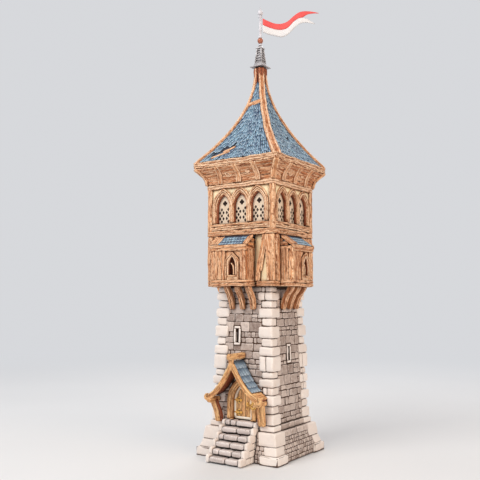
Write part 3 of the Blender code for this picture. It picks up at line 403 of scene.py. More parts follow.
# %% Levels and faces of the stone shaft and the plinth
SHAFT_LOW, SHAFT_HIGH = levels("back_wall")
SHAFT_FOOT, SHAFT_HEAD = 33.2, 29.4
SILL = levels("ground_floor")[1]
COURSE_LOW, COURSE_HIGH = levels("string_course")
COURSE_HALF, FOOT_HALF, FOOT_HIGH = 36.0, 45.0, 7.5
BATTER_UPS, BATTER_HALVES = (7.5, 15.5, 26.8), (42.4, 40.0, 38.2)


def shaft_face(up):
    return SHAFT_FOOT + (SHAFT_HEAD - SHAFT_FOOT) * (up - SHAFT_LOW) / (SHAFT_HIGH - SHAFT_LOW)


def batter_face(up):
    return np.interp(up, BATTER_UPS, BATTER_HALVES)


def against(face, axes):
    """A shape that counts out from a wall's face, and across as well at the right corner."""
    def shape(points):
        moved = points.copy()
        moved[:, axes] += face(points[:, 2])[:, None]
        return moved
    return shape


on_shaft, on_shaft_corner = against(shaft_face, [1]), against(shaft_face, [0, 1])
on_batter, on_batter_corner = against(batter_face, [1]), against(batter_face, [0, 1])
print("half the shaft at its foot and head:", shaft_face(SHAFT_LOW), shaft_face(SHAFT_HIGH))

# %% [markdown]
# The corners carry big pale quoins. Large and small ones alternate in an irregular rhythm, which
# was read off the near corner of the model. Each is one block that wraps the corner, and some are
# cracked in two on one face.

# %% Quoins
QUOINS = ((9.7, 1), (7.6, 0), (9.2, 1), (7.2, 0), (7.9, 1), (6.4, 0), (14.0, 1), (8.6, 1), (7.8, 0), (11.0, 1),
          (7.9, 0), (8.9, 1), (7.2, 0), (7.7, 1), (5.4, 0))
QUOIN_JOINT, CRACK, CRACKED_SHARE = 0.25, 0.12, 0.3
# How proud a quoin stands and how long it is on its two faces, and how much each of these varies.
LARGE, SMALL, SLACK = (2.1, 13.2, 13.0), (0.7, 10.4, 10.4), (0.3, 0.6, 0.6)


def lay_quoins(heap, side):
    chance = random.Random(40 + side)
    unit_height = (SHAFT_HIGH - SHAFT_LOW) / sum(height for height, _ in QUOINS)
    level = SHAFT_LOW
    for number, (height, large) in enumerate(QUOINS):
        top = level + height * unit_height
        proud, length, reach = (size + chance.uniform(-slack, slack)
                                for size, slack in zip(LARGE if large else SMALL, SLACK))
        low, high = level + QUOIN_JOINT / 2, top - QUOIN_JOINT / 2
        seed = side * 50 + number
        if chance.random() < CRACKED_SHARE:
            split = -length * chance.uniform(0.4, 0.6)
            stone(heap, (split + CRACK, -reach, low), (proud, proud, high), side, 1.6, 0.45, 3, seed,
                  shape=on_shaft_corner)
            stone(heap, (-length, -5, low), (split - CRACK, proud - 0.15, high), side, 1.6, 0.45, 3, seed + 20,
                  shape=on_shaft_corner)
        else:
            stone(heap, (-length, -reach, low), (proud, proud, high), side, 1.8, 0.5, 4, seed, shape=on_shaft_corner)
        level = top


quoin_stones = Heap()
on_each_side(lay_quoins, quoin_stones)

# %% [markdown]
# Between the quoins the shaft is coursed rubble: rows of uneven height and blocks of uneven length,
# grey and darker than the quoins. A course is split where the door frame or a slit cuts it.

# %% Rubble between the quoins
SLIT_ACROSS, SLIT_CENTRES = (-7.0, -1.0, -7.0, -1.0), (113.5, 96.4, 113.5, 96.4)
SLIT_HALF, SLIT_TALL, SLIT_RIM = 1.5, 13.0, 2.6
SLIT_REACH, SLIT_RISE = SLIT_HALF + SLIT_RIM, SLIT_TALL / 2 + SLIT_RIM
FRAME_HALF, DOOR_SPRING, FRAME_RISE = 15.6, SILL + 15.6, 23.4
STONE_ROOT, LEAST_STONE, ARCH_SLACK = -1.2, 1.5, 1.5


def free_ranges(low, high, half, side):
    """The stretches across a wall that a course may fill."""
    blocks = []
    if low < SLIT_CENTRES[side] + SLIT_RISE and high > SLIT_CENTRES[side] - SLIT_RISE:
        blocks.append((SLIT_ACROSS[side] - SLIT_REACH + 0.1, SLIT_ACROSS[side] + SLIT_REACH - 0.1))
    if side == 0 and low < DOOR_SPRING + FRAME_RISE:
        reach = FRAME_HALF
        if low > DOOR_SPRING:
            line = arch_line(FRAME_HALF, SILL, DOOR_SPRING, FRAME_RISE)
            reach = max((a for a, up in line if up >= low - ARCH_SLACK), default=0.0)
        blocks.append((-reach, reach))
    ranges, start = [], -half
    for first, last in sorted(blocks) + [(half, half)]:
        if first - start > LEAST_STONE:
            ranges.append((start, first))
        start = max(start, last)
    return ranges


def lay_rubble(heap, side):
    chance = random.Random(7 + side)
    level, seed = SHAFT_LOW + 0.2, 1000 * (side + 1)
    how = (side, 0.9, 0.55, 3)
    while level < SHAFT_HIGH - 3:
        height = chance.choice((3.6, 4.6, 5.2, 5.8, 6.6, 7.4, 9.5))
        top = min(level + height, SHAFT_HIGH - 0.2)
        for first, last in free_ranges(level, top, shaft_face(top) - 9.9, side):
            spot = first
            while spot < last - 0.5:
                length = chance.uniform(5.0, 14.5) * (0.72 if height < 5.5 else 1.0)
                end = last if last - (spot + length) < 3.8 else spot + length
                seed += 1
                proud, joint = chance.uniform(0.35, 1.0), chance.uniform(0.4, 0.75)
                foot = level + chance.uniform(-0.1, 0.25)
                if height > 7 and end - spot < 9 and chance.random() < 0.5:
                    # A tall course is sometimes filled with two thin stones.
                    middle = level + height * chance.uniform(0.4, 0.6)
                    stone(heap, (spot, STONE_ROOT, foot), (end - joint, proud, middle - 0.5), *how, seed,
                          shape=on_shaft)
                    foot, seed = middle, seed + 400
                stone(heap, (spot, STONE_ROOT, foot), (end - joint, proud, top - joint), *how, seed, shape=on_shaft)
                spot = end
        # Thin stones fill the course above and below the surround that cuts into it.
        across, middle = SLIT_ACROSS[side], SLIT_CENTRES[side]
        for first, last in ((level, min(top, middle - SLIT_RISE)), (max(level, middle + SLIT_RISE), top)):
            if 0.8 < last - first < top - level - 0.1:
                stone(heap, (across - SLIT_REACH, STONE_ROOT, first), (across + SLIT_REACH, 0.5, last - 0.3), side,
                      0.6, 0.3, 3, seed + 300, shape=on_shaft)
        level = top


rubble = Heap()
on_each_side(lay_rubble, rubble)

# %% [markdown]
# Each wall has one arrow slit in a pale, slightly swollen surround of four dressed stones.

# %% Slit surrounds
SURROUND_ROOT = -2.2


def lay_surround(heap, side):
    middle, across = SLIT_CENTRES[side], SLIT_ACROSS[side]
    low, high = middle - SLIT_TALL / 2, middle + SLIT_TALL / 2
    for number, (first, last, foot, head, proud) in enumerate((
        (-SLIT_REACH, -SLIT_HALF, low - 0.5, high + 0.5, 1.35), (SLIT_HALF, SLIT_REACH, low - 0.5, high + 0.5, 1.35),
        (0.2 - SLIT_REACH, SLIT_REACH - 0.2, low - SLIT_RIM, low, 1.3),
        (0.2 - SLIT_REACH, SLIT_REACH - 0.2, high, high + SLIT_RIM, 1.3),
    )):
        seed = (500, 501, 520, 521)[number] + side * 9
        stone(heap, (across + first, SURROUND_ROOT, foot), (across + last, proud, head), side, 1.3, 0.2, 4, seed, 0.9,
              on_shaft)


on_each_side(lay_surround, quoin_stones)

# %% [markdown]
# The battered plinth has three tiers of big corner blocks, rows of small bricks between them, and
# a string course of long dressed stones on top.

# %% Corner blocks, rows of bricks and the string course
BRICK_ROWS = ((0.2, 3.8, 27.6), (3.9, 8.0, 27.6), (7.9, 11.4, 30.5), (11.5, 15.2, 30.5), (15.4, 18.6, 24.5),
              (18.7, 21.9, 24.5))
BRICK_LENGTHS, BLOCK_LENGTHS, COURSE_LENGTHS = (2.8, 4.8), (11.0, 17.0), (9.0, 16.0)
STEPS_HALF = 19.5


def lay_plinth_corner(heap, side):
    chance = random.Random(60 + side)
    foot = FOOT_HALF + 0.35
    first, second = chance.uniform(11.5, 14.0), chance.uniform(16.0, 18.5)
    for number, (a, out, low, proud, high, radius, rough, shape) in enumerate((
        (foot - 19.9, foot - 19.8, 0.15, foot, FOOT_HIGH + 0.4, 1.5, 0.35, None),
        (-first, -first - 2, FOOT_HIGH, 1.1, BATTER_UPS[1] - 0.1, 1.3, 0.4, on_batter_corner),
        (-second, -second, BATTER_UPS[1], 1.2, BATTER_UPS[2] + 0.35, 1.3, 0.35, on_batter_corner),
        (COURSE_HALF - 15.0, COURSE_HALF - 14.0, COURSE_LOW + 0.1, COURSE_HALF, COURSE_HIGH, 1.2, 0.3, None),
    )):
        stone(heap, (a, out, low), (proud, proud, high), side, radius, rough, 4, 600 + 10 * number + side,
              shape=shape)


def fill_row(heap, side, low, high, reach, lengths, root, proud, seed, shape=None):
    """One row of blocks to both sides of the middle, leaving the steps free on the front."""
    chance = random.Random(seed)
    beside_steps = STEPS_HALF + 0.3
    stretches = [(-reach, -beside_steps), (beside_steps, reach)] if side == 0 else [(-reach, reach)]
    for first, last in stretches:
        spot = first
        while spot < last - 0.5:
            end = spot + chance.uniform(*lengths)
            end = last if last - end < lengths[0] * 0.6 else end
            seed += 1
            out = proud + chance.uniform(-0.25, 0.25)
            stone(heap, (spot, root, low), (end - 0.35, out, high - 0.2), side, 0.8, 0.3, 2, seed, shape=shape)
            spot = end


def lay_plinth_rows(heap, side):
    for number, (low, high, reach) in enumerate(BRICK_ROWS):
        seed = 3000 + side * 400 + number * 50
        depth = (FOOT_HALF - 4, FOOT_HALF - 1.6) if number < 2 else (-1.5, 0.6)
        fill_row(heap, side, low, high, reach, BRICK_LENGTHS, *depth, seed, None if number < 2 else on_batter)
    fill_row(heap, side, 22.0, 27.3, 24.0, BLOCK_LENGTHS, -3.2, 0.9, 3350 + side * 400, on_batter)
    fill_row(heap, side, COURSE_LOW + 0.1, COURSE_HIGH + 0.2, 21.6, COURSE_LENGTHS, 30.0, COURSE_HALF - 0.4,
             3380 + side * 400)


on_each_side(lay_plinth_corner, quoin_stones)
on_each_side(lay_plinth_rows, rubble)

# %% [markdown]
# The six steps are rows of two or three worn blocks. Pale cheek blocks step down beside them, and
# long stones behind the cheeks close the side of the stair down to the plinth.

# %% Steps and their cheeks
STEP_COUNT, TREAD, FRONT_OUT, CHEEK = 6, 5.0, 65.0, 3.6
STEP_RISE = SILL / STEP_COUNT


def lay_steps(heap, pale):
    chance = random.Random(5)
    for step in range(STEP_COUNT):
        low, high = STEP_RISE * step, STEP_RISE * (step + 1)
        edge = FRONT_OUT - 0.3 - TREAD * step
        joints = [-STEPS_HALF + CHEEK - 0.2, chance.uniform(-6, 6), STEPS_HALF - CHEEK + 0.2]
        if step % 2:
            joints.insert(1, chance.uniform(-11, -8))
        for number, (first, last) in enumerate(zip(joints, joints[1:])):
            stone(heap, (first + 0.2, edge - 11, low + 0.9), (last - 0.2, edge, high - 0.1), 0, 1.7, 0.45, 4,
                  700 + step * 5 + number)
        for number, sign in enumerate((-1, 1)):
            inner, outer = sign * (STEPS_HALF - CHEEK), sign * STEPS_HALF
            front, top = edge + (0.0 if step else 0.1), min(high + 1.5, SILL - 0.1)
            stone(pale, (inner, edge - 9.5, low + 0.1), (outer, front, top), 0, 1.3, 0.35, 3,
                  740 + step * 2 + number)
            back = edge - 9.3
            middle = (back + COURSE_HALF) * chance.uniform(0.46, 0.54)
            for part, (near, far) in enumerate(((COURSE_HALF, middle), (middle + 0.2, back))):
                if far - near > 3:
                    stone(pale, (inner, near, low + 0.1), (outer - sign * 0.3, far, high), 0, 1.0, 0.35, 3,
                          760 + step * 4 + number * 2 + part)


stair_stones = Heap()
lay_steps(stair_stones, quoin_stones)
print("step stones:", len(stair_stones.points))

# %% [markdown]
# The timber storeys come next. First the doorway: a broad outer roll, a dark groove and a thin
# inner roll, all bent along the pointed arch.

# %% The door frame
DOOR_HALF, DOOR_RISE, FRAME_LOW, THRESHOLD_OUT = 10.6, 18.2, SILL + 0.3, 33.0


def arch_roll(heap, side, half, rise, width, low, high, carve, seed, tint, foot=FRAME_LOW, spring=DOOR_SPRING,
              middle=0.0, wander=0.25):
    """A timber bent along a pointed arch, between two distances out."""
    path = at_out(arch_line(half, foot, spring, rise, middle), (low + high) / 2)
    timber(heap, side, path, width, high - low, carve, seed, tint, wander=wander)


door_timbers = Heap()
for grow, width, front, carve, seed, tint in ((3.6, 3.9, 36.3, 0.4, 1, 0.7), (1.0, 1.9, 34.6, 0.2, 2, 0.4)):
    arch_roll(door_timbers, 0, DOOR_HALF + grow, DOOR_RISE + grow, width, 29.9, front, carve, seed, tint)
for sign in (-1, 1):
    ends = [(sign * across, THRESHOLD_OUT, SILL + 0.6) for across in (DOOR_HALF - 0.5, DOOR_HALF + 5.4)]
    beam(door_timbers, 0, *ends, 1.0, 5.4, 0.3, 3)
print("door frame timbers:", len(door_timbers.points))

# %% [markdown]
# The leaf is planked. Every plank has a carved strip in front, and its head follows the arch. A
# pale raised band runs round the leaf.

# %% The door leaf: planks inside a raised band
LEAF_FRONT, LEAF_BACK, LEAF_FOOT, PLANK_GAP = 31.1, 29.3, SILL + 0.4, 0.12
BAND_IN, BAND_OUT, BAND_UP = DOOR_HALF - 1.35, LEAF_FRONT + 0.25, LEAF_FOOT + 1.3


def leaf_head(a):
    return under_arch(a, DOOR_HALF, DOOR_RISE, DOOR_SPRING) - 0.25


door_leaf, door_band, door_gilt = Heap(), Heap(), Heap()
edges = np.linspace(-DOOR_HALF, DOOR_HALF, 6)
for number, (first, last) in enumerate(zip(edges + PLANK_GAP, edges[1:] - PLANK_GAP)):
    outline = [(first, LEAF_FOOT), (last, LEAF_FOOT)] + [(a, leaf_head(a)) for a in np.linspace(last, first, 5)]
    prism(door_leaf, 0, outline, LEAF_BACK, LEAF_FRONT, random.Random(20 + number).random(), 20 + number, 0.2)
    strip = ((first + last) / 2, LEAF_FRONT - 0.3)
    head = min(leaf_head(first), leaf_head(last)) - 0.5
    beam(door_leaf, 0, (*strip, LEAF_FOOT + 0.4), (*strip, head), 3.3, 1.3, 0.35, 24 + number, wander=0.1)
band = arch_line(BAND_IN, BAND_UP, DOOR_SPRING, DOOR_RISE - 1.35)
timber(door_band, 0, at_out(band, BAND_OUT), 2.2, 1.2, 0.06, 30, wander=0.05)
beam(door_band, 0, (-BAND_IN, BAND_OUT, BAND_UP), (BAND_IN, BAND_OUT, BAND_UP), 2.3, 1.2, 0.06, 31, wander=0.05)
print("leaf shapes:", len(door_leaf.points))

# %% [markdown]
# Two gilt strap hinges end in a three-leaved flower, and a ring hangs on the free side. Each is a
# thin bent bar, made with the same timber helper but without its carving.

# %% Gilt straps and the ring
STRAPS = (SILL + 6.55, SILL + 17.85)
GILT_OUT, HINGE_OUT = LEAF_FRONT + 0.55, 28.55
RING_ACROSS, RING_UP, RING = 5.2, SILL + 11.4, 1.7


def bead(across, up, half, behind, proud, radius):
    """A small rounded gilt block on the leaf."""
    stone(door_gilt, (across - half, GILT_OUT - behind, up - half), (across + half, GILT_OUT + proud, up + half),
          radius=radius, rough=0.0)


for up in STRAPS:
    wire(door_gilt, 0, [(0.5 - DOOR_HALF, GILT_OUT + 0.2, up), (-3.0, GILT_OUT + 0.25, up)], 1.3, 0.9)
    for sign in (-1, 1):
        curl = [(2.4 * t - 6.0, up + sign * 3.0 * math.sin(2.4 * t)) for t in np.linspace(0, 1, 8)]
        wire(door_gilt, 0, at_out(curl, GILT_OUT + 0.2), 1.1, 0.9)
        bead(-7.4, up + sign * 1.3, 0.8, 0.5, 0.6, 0.6)
    stone(door_gilt, (-3.6, GILT_OUT - 0.4, up - 1.2), (-1.0, GILT_OUT + 0.7, up + 1.2), radius=1.1, rough=0.0)
    wire(door_gilt, 0, [(-DOOR_HALF, HINGE_OUT, up - 2.85), (-DOOR_HALF, HINGE_OUT, up + 1.15)], 1.6, 1.6)
ring = [(RING_ACROSS + RING * math.sin(t), RING_UP + RING * math.cos(t)) for t in np.linspace(0.3, 6.1, 17)]
wire(door_gilt, 0, at_out(ring, GILT_OUT + 0.35), 0.6, 0.6)
bead(RING_ACROSS, RING_UP + 1.9, 0.9, 0.5, 0.5, 0.8)
print("gilt shapes:", len(door_gilt.points))

# %% [markdown]
# The porch leans forward at its ridge. Both slopes sag between ridge and eave, and barge boards
# with deep grooves follow them. Each eave ends in a rounded curl.

# %% Lines of the porch
PORCH_EAVE, PORCH_RIDGE_UP, PORCH_EAVE_UP, PORCH_DIP = 28.5, 91.5, 58.0, 5.8
PORCH_OUT, RIDGE_OUT = 51.0, 52.5
EAVE_CURL = ((26.0, 55.6), (28.2, 54.2), (30.0, 54.4), (30.9, 56.2), (30.2, 58.2), (28.4, 58.6))


def porch_point(share, sign, drop=0.0, back=0.0):
    """A point on a slope's front edge: share runs from the ridge to the eave."""
    up = PORCH_RIDGE_UP - (PORCH_RIDGE_UP - PORCH_EAVE_UP) * share - PORCH_DIP * 4 * share * (1 - share)
    return (sign * PORCH_EAVE * share, PORCH_OUT + (RIDGE_OUT - PORCH_OUT) * (1 - share) - back, up - drop)


porch_timbers, porch_shaded_side, porch_gilt = Heap(), Heap(), Heap()
for sign in (-1, 1):
    front, trim = ([porch_point(t, sign, drop, back) for t in np.linspace(0.02, 0.98, 12)]
                   for drop, back in ((2.7, 1.3), (0.3, 1.0)))
    timber(porch_timbers, 0, front, 4.8, 2.4, 0.5, 50 + sign, taper=(1.05, 0.95))
    timber(porch_timbers, 0, trim, 1.7, 2.9, 0.25, 53 + sign, 0.95)
    curl = at_out([(sign * a, up) for a, up in EAVE_CURL], PORCH_OUT - 1.4)
    timber(porch_timbers, 0, bent(curl), 3.0, 3.6, 0.35, 48 + sign, 0.7)
print("a point half down the right slope:", porch_point(0.5, 1))

# %% [markdown]
# The ridge log sticks out over a carved king piece. The left brace is bowed, the right one is
# straight and carries two gilt scrolls at its head. Darker red strips on the inner faces of both are
# painted shade.

# %% Ridge log, king piece, eave purlins and braces
LOG_UP, KING_FOOT = PORCH_RIDGE_UP + 3.4, 82.5
PURLIN_UP, PURLIN_ACROSS = PORCH_EAVE_UP - 4.7, PORCH_EAVE - 2.2
BRACE_LEFT = ((-24.2, 38.3, SHAFT_LOW), (-24.4, 38.8, 38.0), (-25.2, 40.2, 44.0), (-26.6, 41.8, 49.5),
              (-27.4, 42.5, PURLIN_UP))
BRACE_RIGHT = ((25.2, 38.3, SHAFT_LOW), (25.6, 40.2, 43.0), (26.4, 42.5, PURLIN_UP))
SCROLLS = (
    ((24.0, 55.0), (21.0, 54.5), (18.0, 51.5), (14.8, 51.0), (13.4, 52.8), (15.0, 54.0)),
    ((23.5, 51.5), (21.6, 48.8), (19.0, 48.4), (17.8, 49.9), (19.2, 50.8)),
)
SCROLL_OUT = 45.6

beam(porch_timbers, 0, (0, 29.5, LOG_UP), (0, 55.8, LOG_UP), 5.6, 5.8, 0.5, 56, 0.8, UPWARDS)
beam(porch_timbers, 0, (0, 51.5, LOG_UP - 1), (0, 51.8, KING_FOOT), 4.8, 2.8, 0.45, 57, taper=(1.1, 0.7))
for sign in (-1, 1):
    across = sign * PURLIN_ACROSS
    beam(porch_timbers, 0, (across, 34.8, PURLIN_UP), (across, PORCH_OUT + 0.2, PURLIN_UP), 4.8, 5.0, 0.4, 58 + sign,
         None, UPWARDS)
timber(porch_timbers, 0, bent(BRACE_LEFT), 5.6, 4.6, 0.45, 59)
for number, shift in enumerate((-1.7, 1.7)):
    timber(porch_timbers, 0, bent(np.array(BRACE_RIGHT) + (shift, 0, 0)), 3.2, 5.0, 0.4, 61 + number,
           0.4 + 0.3 * number)
# Darker red strips on the inner faces of the braces are painted shade.
for sign, line in ((-1, BRACE_LEFT), (1, BRACE_RIGHT)):
    timber(porch_shaded_side, 0, bent(np.array(line) + (-sign * 3.4, -0.9, 0)), 2.6, 3.4, 0.3, 63 + sign, 0.2)
for number, line in enumerate(SCROLLS):
    timber(porch_gilt, 0, bent(at_out(line, SCROLL_OUT)), 1.9, 2.2, 0.15, 66 + number, taper=(1.2, 0.8), wander=0.0,
           step=1.0, fine=0.6)
print("porch timbers:", len(porch_timbers.points))

# %% [markdown]
# One helper lays a slate on any sloping surface, given its foot, its head and the direction
# across: the foot is thicker and lifted, and a corner may be chipped.


# %% One slate
def slate(heap, side, foot, head, across, width, normal, thick, lift, seed):
    """A thin slab from the middle of its foot to the middle of its head."""
    chance = random.Random(seed)
    foot, head, across, normal = (np.asarray(value, float) for value in (foot, head, across, normal))
    across, normal = unit(across), unit(normal)
    chips = (chance.uniform(0, 0.16), chance.uniform(0, 0.16))
    rows = []
    for share in (0.0, 0.1, 0.55, 1.0):
        at_foot = share == 0.0
        middle = foot + (head - foot) * share + normal * lift * (1 - share)
        half = width / 2 * (1 - 0.10 * at_foot)
        left, right = -half * (1 - chips[0] * at_foot), half * (1 - chips[1] * at_foot)
        top = thick * (0.55 if at_foot else 1.0) * chance.uniform(0.85, 1.15)
        rim, crown = top * 0.72, top + chance.uniform(-0.05, 0.12)
        rows.append([middle + across * a + normal * up for a, up in (
            (left, 0), (right, 0), (right, rim), (right - 0.25, top), ((left + right) / 2, crown), (left + 0.25, top),
            (left, rim))])
    points = np.array(rows).reshape(-1, 3)
    edge = np.repeat([1.0, 0.6, 0.0, 0.0], 7).reshape(4, 7)
    edge[1:, [2, 6]] = 0.7
    # The recess mask darkens each slate towards its head, which lies under the next row: painted shade.
    recess = np.concatenate([np.repeat([0.0, 0.0, 0.3, 0.8], 7), [0, 0.8]])
    rings(heap, side, rows, chance.random(), np.append(edge, [0, 0]), recess,
          np.concatenate([points, points[:1], points[-1:]]))


print("one slate has four rings of seven points")

# %% [markdown]
# Five rows of slates lie on each slope of the porch. Bare boards run along the eave below them, and
# a thin deck in darker red closes the slope from inside, as painted shade under the roof.

# %% Slates and boards of the porch
PORCH_ROWS, PORCH_SLATED, PORCH_SLATE_WIDTH, LEAST_SLATE = 5, 0.71, 4.3, 1.2
PORCH_ROW = PORCH_SLATED / PORCH_ROWS


def lay_porch(slates, boards, deck, sign):
    right = sign > 0
    for row in range(PORCH_ROWS):
        share = PORCH_SLATED - row * PORCH_ROW
        foot, head = porch_point(share, sign, 0.5), porch_point(max(share - 1.5 * PORCH_ROW, 0.0), sign, 0.9)
        normal = np.cross(OUTWARDS, np.array(head) - np.array(foot)) * sign
        start, end = shaft_face(foot[2]) + 0.9, foot[1] - 2.6
        shift = (row % 2) * PORCH_SLATE_WIDTH / 2
        for number, out in enumerate(np.arange(start - shift, end, PORCH_SLATE_WIDTH)):
            first, last = max(out, start), min(out + PORCH_SLATE_WIDTH - 0.35, end)
            if last - first >= LEAST_SLATE:
                middle = (first + last) / 2
                slate(slates, 0, (foot[0], middle, foot[2]), (head[0], middle, head[2]), OUTWARDS, last - first,
                      normal, 0.9, 0.9, 800 + row * 9 + number + right * 100)
    for number, share in enumerate((0.75, 0.82, 0.89, 0.96)):
        a, out, up = porch_point(share, sign, 0.6, 2.4)
        beam(boards, 0, (a, shaft_face(up) + 1.0, up), (a, out, up), 2.8, 1.6, 0.35, 70 + number + 4 * right, None,
             (sign * 0.7, 0, 1))
    sections = []
    for share in np.linspace(0.0, 1.0, 9):
        a, out, up = porch_point(share, sign, 1.0, 2.4)
        wall = shaft_face(up) + 0.6
        sections.append([(a, wall, up), (a, out, up), (a, out, up - 1.1), (a, wall, up - 1.1)])
    # The deck takes the darker red of painted shade.
    rings(deck, 0, sections, 0.4)


porch_slates = Heap()
for sign in (-1, 1):
    lay_porch(porch_slates, porch_timbers, porch_shaded_side, sign)
print("porch slates:", len(porch_slates.points))

# %% [markdown]
# The middle storey stands on a jetty beam of two wavy rails. Between the box bays, curved legs
# spread out at the foot over slivers of cream plaster, and a slender post stands on the arris.

# %% The jetty beam, the corner posts and their plaster
JETTY_LOW, JETTY_HIGH = levels("core_floor")
PIER_LOW, PIER_HIGH = levels("front_right_pier")
BAY_LEFT, BAY_RIGHT, BAY_FACE, CORE_FACE, TRUNK_FACE = -25.0, 15.0, 50.6, 33.6, 38.0
RAIL_OUT, LEG_OUT, PLASTER_OUT = 35.6, 36.6, 36.3
# A leg is given by its side, its (across, height over the foot) places, its width and its taper.
PIER_TALL = PIER_HIGH - PIER_LOW
LEGS = (
    (0, ((20.0, 0), (20.5, 9), (22.4, 20), (25.2, 31), (27.2, PIER_TALL)), 4.6, (1.15, 0.9)),
    (0, ((23.2, 9), (25.4, 20), (28.6, 33), (29.6, PIER_TALL)), 2.6, (0.8, 1.3)),
    (0, ((33.2, 0), (33.0, 13), (32.2, 27), (32.4, PIER_TALL)), 6.4, (0.9, 1.3)),
    (0, ((31.6, 0), (31.2, 14), (30.4, 28)), 1.7, (1.2, 0.8)),
    (1, ((-28.4, 0), (-28.2, 20), (-28.6, PIER_TALL)), 4.0, (1.1, 1.0)),
    (1, ((-30.9, 0), (-32.0, 14), (-33.2, 22), (-33.0, PIER_TALL)), 1.9, (0.9, 2.2)),
)


def corner_pier(timbers, fill, dark, side):
    """The trunk at the right corner of a side, on that side and on the next one."""
    seed, low, high = 100 + side * 11, PIER_LOW, PIER_HIGH
    middle, tall = (JETTY_LOW + JETTY_HIGH) / 2, JETTY_HIGH - JETTY_LOW
    for number, lift in enumerate((-1.2, 1.2)):
        for own, first, last in ((side, 18.5, TRUNK_FACE), (side + 1, -TRUNK_FACE, -25.6)):
            beam(timbers, own, (first, RAIL_OUT, middle + lift), (last, RAIL_OUT, middle + lift), tall / 2 + 0.2, 4.6,
                 0.45, seed + number + 2 * own)
    for own, first, last in ((side, BAY_RIGHT, CORE_FACE), (side + 1, -CORE_FACE, BAY_LEFT)):
        prism(fill, own, block(first, last, low, high), CORE_FACE - 2, CORE_FACE, 0.5, seed)
        # A dark board behind the jetty rails is painted shade.
        prism(dark, own, block(first, last, JETTY_LOW, low), CORE_FACE - 2, CORE_FACE - 0.2, 0.5, seed)
    prism(fill, side, [(23.0, low), (37.0, low), (36.5, high), (27.0, high)], CORE_FACE, PLASTER_OUT, 0.7, seed + 1)
    prism(fill, side + 1, [(-37.0, low), (-27.5, low), (-27.5, high), (-36.5, high)], CORE_FACE, PLASTER_OUT, 0.9,
          seed + 1)
    for number, (turn, line, wide, taper) in enumerate(LEGS):
        path = bent([(a, LEG_OUT, low + up) for a, up in line])
        timber(timbers, side + turn, path, wide, 3.2, 0.6, seed + 3 + number, taper=taper, wander=0.2)
    arris = [(36.1, 36.1, low), (36.4, 36.4, low + 20), (36.2, 36.2, high)]
    timber(timbers, side, arris, 4.0, 4.0, 0.5, seed + 2, wander=0.15)
    # A hooked brace crosses the head of the next side.
    hook = [(-36.4, 37.4, low + 34), (-33.0, 37.6, low + 38.5), (-28.4, 37.5, low + 39), (-27.4, 37.4, low + 35)]
    timber(timbers, side + 1, bent(hook), 2.3, 2.0, 0.35, seed + 9, 0.9)


storey_timbers, plaster, shade_sheets = Heap(), Heap(), Heap()
on_each_side(corner_pier, storey_timbers, plaster, shade_sheets)

# %% [markdown]
# Each box bay has planked walls, and boards fill the gable under its little roof.

# %% Walls of a bay
BAY_LOW, BAY_EAVE = JETTY_LOW, JETTY_LOW + 37.9
BAY_BEAM, BAY_LINTEL = 6.0, 4.9
TUCK_OUT, TUCK_UP = 38.7, 206.6
CHEEK_START = 34.4


def planked(heap, side, edges, place, low, high, seed, facing):
    """Upright carved planks between edges; place(middle) gives the across and out of one."""
    for number, (first, last) in enumerate(zip(edges, edges[1:])):
        spot = place((first + last) / 2)
        beam(heap, side, (*spot, low), (*spot, high), last - first - 0.1, 2.0, 0.3, seed + number, None, facing,
             wander=0.08, step=2.0)


def bay_walls(heap, side):
    seed = 200 + side * 60
    low, high = BAY_LOW + BAY_BEAM - 0.5, BAY_EAVE - BAY_LINTEL + 0.5
    for first, last in ((BAY_LEFT + 4.5, -8.3), (8.3, BAY_RIGHT - 4.3)):
        edges = np.linspace(first, last, max(1, round((last - first) / 4.2)) + 1)
        planked(heap, side, edges, lambda a: (a, BAY_FACE - 0.9), low, high, seed + (first > 0) * 6, OUTWARDS)
    slope = (TUCK_UP - BAY_EAVE) / (BAY_FACE - TUCK_OUT)
    for right, across in enumerate((BAY_LEFT + 1.0, BAY_RIGHT - 1.0)):
        planked(heap, side, np.linspace(CHEEK_START, BAY_FACE - 4.5, 5), lambda out: (across, out), BAY_LOW + 0.4,
                BAY_EAVE - 0.4, seed + 14 + 5 * right, SIDEWAYS)
        for row in range(3):
            up = BAY_EAVE + 1.9 + row * 3.8
            reach = min(BAY_FACE - 1.2, BAY_FACE - (up + 1.9 - BAY_EAVE) / slope)
            if reach > 37.0:
                beam(heap, side, (across, CHEEK_START, up), (across, reach, up), 3.7, 1.8, 0.3,
                     seed + 26 + row + 4 * right, None, SIDEWAYS)


bay_timbers = Heap()
on_each_side(bay_walls, bay_timbers)

# %% [markdown]
# Wavy double rails frame a bay below, a lintel lies above, and the left post has a hooked head that
# stands proud of it. Each of the three brackets is two grooved ribs side by side.

# %% Frame of a bay: beams, posts and brackets
BRACKETS, RIB_LEAN = (12.1, 0.1, -11.9), 1.25
BRACKET_CURVE = ((42.2, 1.0), (40.6, -2.6), (37.6, -6.4), (35.0, -11.0), (33.4, -16.0), (32.3, -21.6))
CHEEK_RAIL, RAIL_START = 0.8, 34.2


